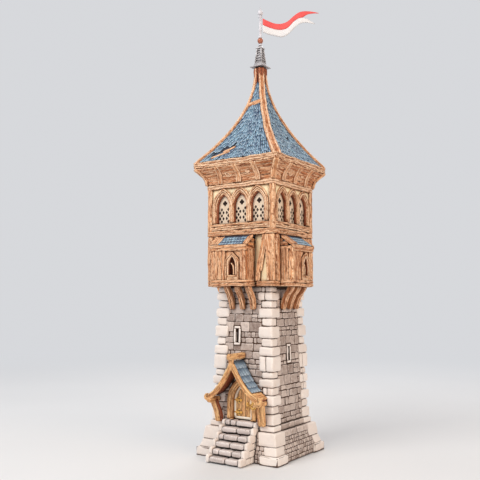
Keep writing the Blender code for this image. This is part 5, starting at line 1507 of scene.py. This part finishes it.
# Each line is (distance from the pole, level) points from the hoist towards the tails.
TOP_EDGE = ((HOIST, 438.0), (9.0, 435.0), (15.3, 432.7), (23.0, 432.4), (28.6, 434.4), (34.2, 439.2), (39.8, 442.9))
BORDER = ((HOIST, 431.0), (11.9, 427.4), (17.5, 426.0), (23.1, 425.7), (28.6, 427.4), (34.2, 433.0), (39.8, 436.6),
          (43.1, 437.2))
FOOT_EDGE = ((HOIST, 423.3), (7.0, 421.6), (11.7, 420.4), (17.5, 418.9), (23.1, 418.0), (28.6, 420.4), (34.2, 425.7),
             (39.8, 430.3))
UPPER_TAIL = (((48.0, 444.0), (54.0, 443.6)), ((48.0, 440.4), (54.0, 441.9)), (60.3, 442.6))
LOWER_TAIL = (((47.5, 436.1), (52.0, 433.4)), ((47.1, 432.0), (52.6, 431.2)), (56.3, 431.0))


def smooth_line(knots, places):
    """A soft curve through the knots, read at some places."""
    xs, ys = zip(*knots)
    slopes = np.gradient(ys, xs)
    out = []
    for x in places:
        k = min(max(np.searchsorted(xs, x) - 1, 0), len(xs) - 2)
        span = xs[k + 1] - xs[k]
        t = (x - xs[k]) / span
        a, b = 2 * t**3 - 3 * t**2 + 1, t**3 - 2 * t**2 + t
        c, d = -2 * t**3 + 3 * t**2, t**3 - t**2
        out.append(a * ys[k] + b * span * slopes[k] + c * ys[k + 1] + d * span * slopes[k + 1])
    return np.array(out)


def pennon_half(heap, top, foot, tail):
    """One coloured half of the pennon, from the hoist to its tail's tip."""
    above, below, tip = tail
    places = np.linspace(HOIST, tip[0], 30)
    highs = smooth_line((*top, *above, tip), places)
    lows = smooth_line((*foot, *below, (tip[0], tip[1] - 0.25)), places)
    sections = []
    for x, high, low in zip(places, highs, lows):
        wave = PENNON_WAVE * math.sin(2 * math.pi * x / PENNON_REACH)
        thick = 0.58 - 0.25 * x / PENNON_REACH
        ups = np.linspace(low, max(high, low + 0.2), 5)
        sections.append([(x, wave - thick, up) for up in ups] + [(x, wave + thick, up) for up in ups[::-1]])
    x, out, up = np.moveaxis(np.array(sections), -1, 0)
    cos, sin = math.cos(PENNON_ANGLE), math.sin(PENNON_ANGLE)
    # Here out is counted towards the front, so a turn towards the back is a negative one.
    rings(heap, 0, np.stack([x * cos - out * sin, -(x * sin + out * cos), up], axis=-1), 0.5, 0.2)


pennon_red, pennon_white = Heap(), Heap()
pennon_half(pennon_red, TOP_EDGE, BORDER, UPPER_TAIL)
pennon_half(pennon_white, BORDER, FOOT_EDGE, LOWER_TAIL)
print("pennon reaches", PENNON_REACH, "mm from the pole")

# %% [markdown]
# Now the paint. A tabletop model is painted in layers: a base coat, a dark wash that settles in
# the recesses, and lighter dry brushing that catches the edges. One node group does all three,
# and each material places it with its own colours. Its dark wash is laid on by occlusion, so it is
# partly the model's wash and partly painted shade in the recesses.

# %% A small language for node trees
def linear(red, green, blue):
    """A colour given as the eye reads it, 0 to 255, as Blender's linear values."""
    out = []
    for value in (red, green, blue):
        value /= 255
        out.append(value / 12.92 if value <= 0.04045 else ((value + 0.055) / 1.055) ** 2.4)
    return (*out, 1.0)


class Tree:
    """Adds nodes to a tree and joins them."""

    def __init__(self, tree):
        self.tree = tree

    def add(self, kind, values=None, **settings):
        node = self.tree.nodes.new(kind)
        for name, value in settings.items():
            setattr(node, name, value)
        for name, value in (values or {}).items():
            socket = node.inputs[name]
            if isinstance(value, bpy.types.NodeSocket):
                self.tree.links.new(value, socket)
            else:
                socket.default_value = value
        return node

    def math(self, operation, a, b=0.0, clamp=False):
        return self.add("ShaderNodeMath", {0: a, 1: b}, operation=operation, use_clamp=clamp).outputs[0]

    def mix(self, factor, a, b, blend="MIX"):
        node = self.add("ShaderNodeMix", data_type="RGBA", blend_type=blend, clamp_factor=True)
        for socket, value in zip((node.inputs[0], node.inputs[6], node.inputs[7]), (factor, a, b)):
            if isinstance(value, bpy.types.NodeSocket):
                self.tree.links.new(value, socket)
            else:
                socket.default_value = value
        return node.outputs[2]

    def spread(self, value, low, high, out_low=0.0, out_high=1.0):
        node = self.add("ShaderNodeMapRange", {0: value, 1: low, 2: high, 3: out_low, 4: out_high}, clamp=True)
        return node.outputs[0]

    def noise(self, vector, scale, detail=3.0, rough=0.55, distortion=0.0):
        values = {"Vector": vector, "Scale": scale, "Detail": detail, "Roughness": rough, "Distortion": distortion}
        return self.add("ShaderNodeTexNoise", values).outputs[0]


def new_group(name, inputs, outputs):
    """A shader node group with named inputs and outputs; gives its tree and its two end nodes."""
    group = bpy.data.node_groups.new(name, "ShaderNodeTree")
    for socket_name, kind, default in inputs:
        socket = group.interface.new_socket(socket_name, in_out="INPUT", socket_type=kind)
        if default is not None:
            socket.default_value = default
    for socket_name, kind in outputs:
        group.interface.new_socket(socket_name, in_out="OUTPUT", socket_type=kind)
    tree = Tree(group)
    return group, tree, tree.add("NodeGroupInput"), tree.add("NodeGroupOutput")


COLOUR, VALUE, VECTOR = "NodeSocketColor", "NodeSocketFloat", "NodeSocketVector"
print("slate blue in linear values:", [round(v, 3) for v in linear(95, 140, 185)])

# %% [markdown]
# The layering group takes the three masks that the meshes carry, and the occlusion of the place,
# which says how deep in a recess it lies. The dark it lays there is partly the model's wash and
# partly painted shade. The wash gathers in streaks, so noise breaks it up.

# %% Group: layers of brushed paint and painted shade
layers, t, given, result = new_group("brushed_layers_and_shade", (
    ("Base", COLOUR, (0.5, 0.5, 0.5, 1)), ("Wash And Shade", COLOUR, (0.1, 0.1, 0.1, 1)),
    ("Light", COLOUR, (0.9, 0.9, 0.9, 1)), ("Second", COLOUR, (0.5, 0.5, 0.5, 1)),
    ("Mark", VECTOR, None), ("Place", VECTOR, None), ("Occlusion", VALUE, 1.0), ("Groove", VALUE, 0.0),
    ("Wash And Shade Strength", VALUE, 1.0), ("Light Strength", VALUE, 0.6), ("Patch Scale", VALUE, 160.0),
    ("Ridge", VALUE, 0.0),
), (("Color", COLOUR), ("Recess", VALUE)))
mark = t.add("ShaderNodeSeparateXYZ", {0: given.outputs["Mark"]})
patch = t.noise(given.outputs["Place"], given.outputs["Patch Scale"], 4.0)
fine = t.noise(given.outputs["Place"], 900.0, 3.0)
patchy = t.math("MULTIPLY", t.spread(patch, 0.3, 0.7), 0.5)
varied = t.math("ADD", t.math("MULTIPLY", mark.outputs[0], 0.62), patchy)
base = t.mix(t.spread(varied, 0.1, 1.0), given.outputs["Base"], given.outputs["Second"])
# Occlusion darkens deep recesses: painted shade, laid on together with the model's wash.
depth = t.spread(given.outputs["Occlusion"], 0.92, 0.28)
depth = t.math("ADD", depth, t.math("MULTIPLY", t.math("SUBTRACT", patch, 0.5), 0.35), True)
dark = t.math("MAXIMUM", depth, t.math("MULTIPLY", mark.outputs[2], 0.92))
dark = t.math("MAXIMUM", dark, given.outputs["Groove"])
dark = t.math("MULTIPLY", dark, given.outputs["Wash And Shade Strength"], True)
washed_and_shaded = t.mix(dark, base, given.outputs["Wash And Shade"])
brushed = t.math("MULTIPLY", mark.outputs[1], t.spread(fine, 0.35, 0.6))
brushed = t.math("MAXIMUM", brushed, t.math("MULTIPLY", t.spread(fine, 0.58, 0.72), 0.35))
brushed = t.math("MAXIMUM", brushed, given.outputs["Ridge"])
brushed = t.math("MULTIPLY", brushed, given.outputs["Light Strength"], True)
brushed = t.math("MULTIPLY", brushed, t.spread(dark, 0.7, 0.2))
painted = t.mix(brushed, washed_and_shaded, given.outputs["Light"])
t.tree.links.new(painted, result.inputs["Color"])
t.tree.links.new(dark, result.inputs["Recess"])
print("nodes in the layering group:", len(layers.nodes))

# %% [markdown]
# Wood grain is noise that is stretched along the timber. Its coordinate is the grain vector of
# the mesh, so the streaks bend with every curved post and arch.

# %% Group: carved wood grain
grain_group, t, given, result = new_group("carved_grain", (
    ("Grain", VECTOR, None), ("Along", VALUE, 0.028), ("Across", VALUE, 0.5), ("Depth", VALUE, 1.0),
), (("Streak", VALUE), ("Ridge", VALUE), ("Height", VALUE)))
split = t.add("ShaderNodeSeparateXYZ", {0: given.outputs["Grain"]})
flow = t.add("ShaderNodeCombineXYZ", {
    0: t.math("MULTIPLY", split.outputs[0], given.outputs["Along"]),
    1: t.math("MULTIPLY", split.outputs[1], given.outputs["Across"]),
    2: t.math("MULTIPLY", split.outputs[2], given.outputs["Across"]),
})
streak = t.noise(flow.outputs[0], 1.3, 2.5, 0.5, 0.5)
lines = t.spread(t.math("ABSOLUTE", t.math("SUBTRACT", streak, 0.47)), 0.0, 0.05, 1.0, 0.0)
ridges = t.spread(t.math("ABSOLUTE", t.math("SUBTRACT", streak, 0.585)), 0.0, 0.055, 1.0, 0.0)
t.tree.links.new(lines, result.inputs["Streak"])
t.tree.links.new(ridges, result.inputs["Ridge"])
height = t.math("SUBTRACT", t.math("MULTIPLY", streak, 0.6), t.math("MULTIPLY", lines, given.outputs["Depth"]))
t.tree.links.new(height, result.inputs["Height"])
print("nodes in the grain group:", len(grain_group.nodes))

# %% [markdown]
# Hewn stone is pitted. Small round cells are kept only where a second noise is high, so that the
# pits lie in loose clusters.

# %% Group: the pitted face of hewn stone
pits_group, t, given, result = new_group("hewn_pits", (
    ("Place", VECTOR, None), ("Scale", VALUE, 420.0), ("Pits", VALUE, 0.5),
), (("Height", VALUE), ("Pit", VALUE)))
rough = t.noise(given.outputs["Place"], given.outputs["Scale"], 5.0, 0.62)
cells = t.add("ShaderNodeTexVoronoi", {"Vector": given.outputs["Place"], "Scale": given.outputs["Scale"]})
pit = t.spread(cells.outputs["Distance"], 0.16, 0.05)
pit = t.math("MULTIPLY", pit, t.spread(rough, 0.5, 0.62))
pit = t.math("MULTIPLY", pit, given.outputs["Pits"])
t.tree.links.new(t.math("SUBTRACT", rough, pit), result.inputs["Height"])
t.tree.links.new(pit, result.inputs["Pit"])
print("nodes in the stone group:", len(pits_group.nodes))

# %% [markdown]
# A paint is a recipe: four colours, how strongly it is washed and shaded and how strongly it is
# brushed, and which surface lies under it. The Principled shader stays in the material, with its
# constants set on its own sockets.


# %% Mixing a paint
def paint(name, base, second, wash_and_shade, light, under="stone", wash_and_shade_strength=1.0, light_strength=0.6, rough=0.62,
          metal=0.0, relief=0.5, reach=2.2, patch=160.0):
    material = bpy.data.materials.new(name)
    material.use_nodes = True
    material.node_tree.nodes.clear()
    t = Tree(material.node_tree)
    place = t.add("ShaderNodeTexCoord").outputs["Object"]
    marks = t.add("ShaderNodeAttribute", attribute_name="mark").outputs["Vector"]
    # Ambient occlusion gives painted shade in the recesses, mixed into the wash.
    occlusion = t.add("ShaderNodeAmbientOcclusion", {"Distance": reach * MM}, samples=8).outputs["AO"]
    groove, ridge = 0.0, 0.0
    if under == "wood":
        grain = t.add("ShaderNodeAttribute", attribute_name="grain").outputs["Vector"]
        surface = t.add("ShaderNodeGroup", node_tree=grain_group)
        t.tree.links.new(grain, surface.inputs["Grain"])
        groove = t.math("MULTIPLY", surface.outputs["Streak"], 0.6)
        ridge = t.math("MULTIPLY", surface.outputs["Ridge"], 0.7)
    else:
        surface = t.add("ShaderNodeGroup", {"Place": place}, node_tree=pits_group)
        groove = t.math("MULTIPLY", surface.outputs["Pit"], 0.5)
    colour = t.add("ShaderNodeGroup", {
        "Base": linear(*base), "Second": linear(*second), "Wash And Shade": linear(*wash_and_shade), "Light": linear(*light),
        "Mark": marks, "Place": place, "Occlusion": occlusion, "Groove": groove, "Wash And Shade Strength": wash_and_shade_strength,
        "Light Strength": light_strength, "Patch Scale": patch, "Ridge": ridge,
    }, node_tree=layers)
    bump = t.add("ShaderNodeBump", {"Strength": relief, "Distance": 0.35 * MM, "Height": surface.outputs["Height"]})
    sheen = t.spread(colour.outputs["Recess"], 0.0, 1.0, rough, min(rough + 0.2, 1.0))
    shader = t.add("ShaderNodeBsdfPrincipled", {
        "Base Color": colour.outputs["Color"], "Roughness": sheen, "Metallic": metal, "Normal": bump.outputs[0],
        "Specular IOR Level": 0.35,
    })
    t.add("ShaderNodeOutputMaterial", {"Surface": shader.outputs[0]})
    material.diffuse_color = linear(*base)
    return material


# %% [markdown]
# The colours of each paint are its base, a second base for variety, the wash, which also serves as
# painted shade in the recesses, and the brushed light.

# %% The paints
WOOD = paint("carved_timber_paint", (190, 114, 66), (234, 170, 120), (102, 44, 18), (255, 224, 186), "wood",
             light_strength=0.95, rough=0.55, reach=2.4)
RED_WOOD = paint("red_timber_paint", (140, 70, 42), (168, 92, 60), (54, 22, 10), (216, 140, 100), "wood",
                 0.95, 0.5, 0.55, reach=2.4)
DOOR_WOOD = paint("door_timber_paint", (218, 148, 90), (242, 188, 130), (104, 48, 20), (252, 218, 160), "wood",
                  0.9, 0.7, 0.5)
PALE_ROLL = paint("pale_roll_paint", (228, 162, 112), (252, 204, 158), (110, 50, 24), (255, 232, 206), "wood",
                  0.75, 0.7, 0.55, reach=1.6)
# Painted shade: a dark wood for the boards behind openings and for the upper floor.
SHADE_WOOD = paint("painted_shade_wood_paint", (104, 52, 34), (124, 66, 42), (44, 18, 12), (150, 92, 62), "wood",
                  0.9, 0.3, 0.6)
QUOIN = paint("pale_quoin_paint", (228, 214, 204), (246, 236, 228), (100, 72, 60), (254, 248, 242),
              wash_and_shade_strength=0.85, rough=0.7, reach=1.6)
RUBBLE = paint("grey_rubble_paint", (138, 118, 108), (218, 202, 192), (48, 28, 18), (248, 236, 228),
               light_strength=0.95, rough=0.75, reach=3.0, relief=1.0, patch=300.0)
STEP = paint("worn_step_paint", (186, 172, 166), (224, 212, 206), (58, 40, 32), (248, 240, 236),
             light_strength=0.85, rough=0.75, reach=2.4, relief=0.7)
MORTAR = paint("dark_mortar_paint", (84, 62, 50), (106, 82, 68), (46, 30, 22), (130, 108, 94), wash_and_shade_strength=0.8,
               light_strength=0.2, rough=0.9)
SLATE = paint("blue_slate_paint", (26, 60, 106), (138, 182, 208), (34, 24, 40), (214, 232, 242),
              light_strength=0.9, rough=0.55, patch=120.0)
PORCH_SLATE = paint("grey_slate_paint", (72, 98, 128), (150, 176, 198), (22, 26, 40), (218, 232, 242),
                    wash_and_shade_strength=0.95, light_strength=0.8, rough=0.55, reach=1.8)
UNDER_SLATE = paint("slate_shadow_paint", (48, 52, 66), (66, 60, 62), (20, 18, 24), (90, 90, 100), rough=0.8,
                    light_strength=0.2)
PLASTER = paint("cream_plaster_paint", (240, 208, 152), (252, 232, 190), (150, 96, 50), (255, 246, 220),
                wash_and_shade_strength=0.7, light_strength=0.4, rough=0.75, reach=3.0)
SCREEN = paint("pierced_panel_paint", (228, 206, 180), (244, 228, 208), (120, 84, 60), (255, 248, 238),
               wash_and_shade_strength=0.75, light_strength=0.4, rough=0.7, reach=3.0)
BAND = paint("door_band_paint", (250, 238, 214), (255, 248, 232), (170, 130, 90), (255, 252, 240), rough=0.6,
             wash_and_shade_strength=0.5)
# Very dark paint over the holes: painted shade, and partly the model's wash.
HOLE = paint("piercing_wash_and_shade_paint", (40, 24, 18), (52, 32, 24), (16, 8, 6), (60, 40, 30), rough=0.8,
             light_strength=0.0)
PEWTER = paint("pewter_paint", (150, 146, 148), (178, 174, 176), (44, 36, 38), (232, 230, 232), rough=0.42,
               metal=0.25, light_strength=0.8, reach=1.6)
POLE_PAINT = paint("pale_pole_paint", (196, 192, 198), (222, 220, 226), (90, 84, 92), (250, 250, 252), rough=0.42,
                   reach=1.2)
COPPER = paint("copper_paint", (150, 78, 54), (176, 100, 72), (66, 26, 18), (240, 200, 176), rough=0.35,
               metal=0.35, reach=1.5)
GILT = paint("gilt_paint", (228, 160, 66), (246, 190, 92), (120, 66, 18), (255, 232, 160), rough=0.4, metal=0.1,
             reach=1.2)
SATIN = {"wash_and_shade_strength": 0.4, "light_strength": 0.15, "rough": 0.5, "relief": 0.15}
RED = paint("pennon_red_paint", (222, 78, 78), (238, 98, 94), (150, 40, 44), (250, 150, 140), **SATIN)
WHITE = paint("pennon_white_paint", (224, 222, 222), (230, 228, 228), (190, 184, 170), (255, 255, 255), **SATIN)
print("paints:", len(bpy.data.materials))

# %% [markdown]
# The heaps become pieces. Each rides on its body and says which solids of the frame it stands for.
# Walls, plinth, floors, panels and the roof's shell stay as they are, under new paint.

# %% Pieces of the tower
QUOIN_NODES = [corner + "_quoins" for corner in CORNERS]
PIER_NODES = [corner + "_pier" for corner in CORNERS]
ARCADE_NODES, BAY_NODES = ([side + part for side in SIDES] for part in ("_arcade", "_bay"))
for heap, name, colours, slot, body, replaced in (
    (quoin_stones, "pale_stonework", QUOIN, "quoin", "tower", QUOIN_NODES + ["string_course"]),
    (rubble, "grey_stonework", RUBBLE, "masonry", "tower", []),
    (stair_stones, "step_blocks", STEP, "quoin", "tower", ["steps"]),
    (door_timbers, "door_frame_rolls", DOOR_WOOD, "timber", "tower", ["door_frame"]),
    (door_leaf, "door_planks", DOOR_WOOD, "timber", "door", ["door_leaf"]),
    (door_band, "door_pale_band", BAND, "timber", "door", []),
    (door_gilt, "door_gilt_straps", GILT, "pewter", "door", []),
    (porch_timbers, "porch_timbers", DOOR_WOOD, "timber", "tower", ["porch_frame"]),
    (porch_shaded_side, "porch_painted_shade_boards", RED_WOOD, "timber", "tower", ["porch_roof"]),
    (porch_slates, "porch_slates", PORCH_SLATE, "slate", "tower", []),
    (porch_gilt, "porch_gilt_scrolls", GILT, "pewter", "tower", []),
    (shade_sheets, "painted_shade_sheets", SHADE_WOOD, "timber", "tower", []),
    (hole_wash_and_shade, "wash_and_shade_round_piercings", HOLE, "screen", "tower", []),
    (pale_rolls, "pale_carved_rolls", PALE_ROLL, "timber", "tower", []),
    (shaded_reveals, "arch_reveals_painted_shade", RED_WOOD, "timber", "tower", []),
    (crown_posts, "crown_posts", RED_WOOD, "timber", "tower", []),
    (storey_timbers, "corner_posts_and_jetty", WOOD, "timber", "tower", PIER_NODES + ["core_floor"]),
    (plaster, "cream_plaster", PLASTER, "screen", "tower", ARCADE_NODES),
    (bay_timbers, "bay_timbers", WOOD, "timber", "tower", BAY_NODES),
    (small_slates, "bay_slates", SLATE, "slate", "tower", []),
    (upper_timbers, "upper_storey_timbers", WOOD, "timber", "tower", ["upper_frame"]),
    (eave_timbers, "cove_and_eaves", WOOD, "timber", "tower", ["eaves_cove", "eave_beams"]),
    (roof_slates, "roof_slates", SLATE, "slate", "tower", []),
    (roof_timbers, "hips_and_collar", WOOD, "timber", "tower", ["hip_beams"]),
    (lantern_metal, "lantern_metal", PEWTER, "pewter", "tower", ["lantern"]),
    (pole_metal, "turned_pole", POLE_PAINT, "pewter", "tower", ["finial_pole"]),
    (copper, "copper_ball", COPPER, "pewter", "tower", []),
    (pennon_red, "pennon_red_half", RED, "pennon", "tower", ["pennon"]),
    (pennon_white, "pennon_white_half", WHITE, "pennon", "tower", []),
):
    heap.piece(name, colours, slot, body, replaced)

# %% [markdown]
# The solids that stay in view get the paint of what lies behind the stones, slates and timbers.
# Under the slates and on the upper floor that paint is painted shade.


# %% Paint on the solids that stay
def kept_paint(name):
    if name.endswith("_wall") or name.startswith("front_wall") or name in ("plinth", "ground_floor"):
        return MORTAR
    if name.endswith("pierced_panel"):
        return SCREEN
    # The roof shells under the slates and the upper floor are given painted shade.
    if name == "roof" or name.endswith("bay_roof"):
        return UNDER_SLATE
    return SHADE_WOOD if name == "upper_floor" else None


for name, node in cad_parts.items():
    if kept_paint(name):
        node.data.materials.clear()
        node.data.materials.append(kept_paint(name))
print("solids kept in view:", sum(not node.hide_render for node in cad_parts.values()))
# %% [markdown]
# The studio is a pale floor that the camera sees as light grey, one large soft lamp in front on the
# left, a weaker one on the right and an even sky. The camera stands where the photograph was taken.

# %% Floor and backdrop
BACKDROP, AIM_UP = (0.68, 0.69, 0.715, 1), 0.22


def floor_paint():
    """A pale matt floor that fades into the backdrop's colour away from the tower."""
    material = bpy.data.materials.new("studio_floor_paint")
    material.use_nodes = True
    material.node_tree.nodes.clear()
    t = Tree(material.node_tree)
    place = t.add("ShaderNodeTexCoord").outputs["Object"]
    shade = t.spread(t.noise(place, 3.0, 2.0), 0.3, 0.7, 0.74, 0.77)
    tone = t.add("ShaderNodeCombineColor", {0: shade, 1: shade, 2: shade})
    shader = t.add("ShaderNodeBsdfPrincipled", {"Base Color": tone.outputs[0], "Roughness": 0.85})
    distance = t.add("ShaderNodeVectorMath", {0: place}, operation="LENGTH").outputs["Value"]
    far = t.add("ShaderNodeMapRange", {0: distance, 1: 0.25, 2: 1.3}, interpolation_type="SMOOTHERSTEP").outputs[0]
    seen = t.math("MULTIPLY", far, t.add("ShaderNodeLightPath").outputs["Is Camera Ray"])
    plain = t.add("ShaderNodeEmission", {"Color": BACKDROP})
    both = t.add("ShaderNodeMixShader", {0: seen, 1: shader.outputs[0], 2: plain.outputs[0]})
    t.add("ShaderNodeOutputMaterial", {"Surface": both.outputs[0]})
    return material


bpy.ops.mesh.primitive_plane_add(size=6.0, location=(0, 0, -0.0003))
floor = bpy.context.object
floor.name = "studio_floor"
floor.data.materials.append(floor_paint())
world = bpy.context.scene.world or bpy.data.worlds.new("studio_sky")
bpy.context.scene.world = world
world.use_nodes = True
sky = Tree(world.node_tree)
world.node_tree.nodes.clear()
plain = sky.add("ShaderNodeBackground", {"Color": (0.93, 0.95, 1.0, 1), "Strength": 0.55})
seen = sky.add("ShaderNodeBackground", {"Color": BACKDROP, "Strength": 1.0})
rays = sky.add("ShaderNodeLightPath")
visible = sky.math("MAXIMUM", rays.outputs["Is Camera Ray"], rays.outputs["Is Glossy Ray"])
visible = sky.math("MAXIMUM", visible, rays.outputs["Is Transmission Ray"])
both = sky.add("ShaderNodeMixShader", {0: visible, 1: plain.outputs[0], 2: seen.outputs[0]})
sky.add("ShaderNodeOutputWorld", {"Surface": both.outputs[0]})
print("floor and sky are in place")

# %% [markdown]
# Three square lamps look at the middle of the tower: a large key lamp in front, a warm one that
# fills the right side, and a cool one behind that draws the edges.


# %% Lamps
def lamp(name, azimuth, elevation, distance, size, power, tint):
    """A square lamp that looks at the middle of the tower."""
    a, e = math.radians(azimuth), math.radians(elevation)
    aim = Vector((0, 0, AIM_UP))
    spot = aim + Vector((math.sin(a) * math.cos(e), -math.cos(a) * math.cos(e), math.sin(e))) * distance
    data = bpy.data.lights.new(name, "AREA")
    data.shape, data.size, data.energy, data.color = "SQUARE", size, power, tint
    item = bpy.data.objects.new(name, data)
    item.location = spot
    item.rotation_euler = (aim - spot).to_track_quat("-Z", "Y").to_euler()
    bpy.context.scene.collection.objects.link(item)


lamp("key_lamp", -12, 38, 1.5, 0.9, 13.9, (1.0, 0.97, 0.93))
lamp("fill_lamp", 78, 18, 1.6, 1.0, 9.0, (1.0, 0.74, 0.50))
lamp("rim_lamp", 200, 40, 1.6, 0.8, 7.0, (0.95, 0.97, 1.0))
print("lamps:", len(bpy.data.lights))

# %% [markdown]
# The camera was fitted to the photograph: its place and its heading come from the corners of the
# plinth, the eaves and the tip of the pole. The lens is given for Blender's 36 mm wide sensor.

# %% Camera
CAMERA_AZIMUTH, CAMERA_DISTANCE, CAMERA_HEIGHT = 32.44, 652.88, 147.29
HEADING, PITCH, LENS = 34.28, 5.25, 48.92
camera_data = bpy.data.cameras.new("camera")
camera_data.lens, camera_data.sensor_width, camera_data.sensor_fit = LENS, 36.0, "HORIZONTAL"
camera_data.clip_start, camera_data.clip_end = 0.01, 20.0
camera = bpy.data.objects.new("camera", camera_data)
azimuth = math.radians(CAMERA_AZIMUTH)
camera.location = Vector((math.sin(azimuth), -math.cos(azimuth), 0)) * CAMERA_DISTANCE * MM
camera.location.z = CAMERA_HEIGHT * MM
heading, pitch = math.radians(HEADING), math.radians(PITCH)
view = Vector((-math.sin(heading) * math.cos(pitch), math.cos(heading) * math.cos(pitch), math.sin(pitch)))
camera.rotation_mode = "QUATERNION"
camera.rotation_quaternion = view.to_track_quat("-Z", "Y")
bpy.context.scene.collection.objects.link(camera)
bpy.context.scene.camera = camera
bpy.context.scene.view_settings.view_transform = "Standard"
print("camera at", [round(v, 3) for v in camera.location])
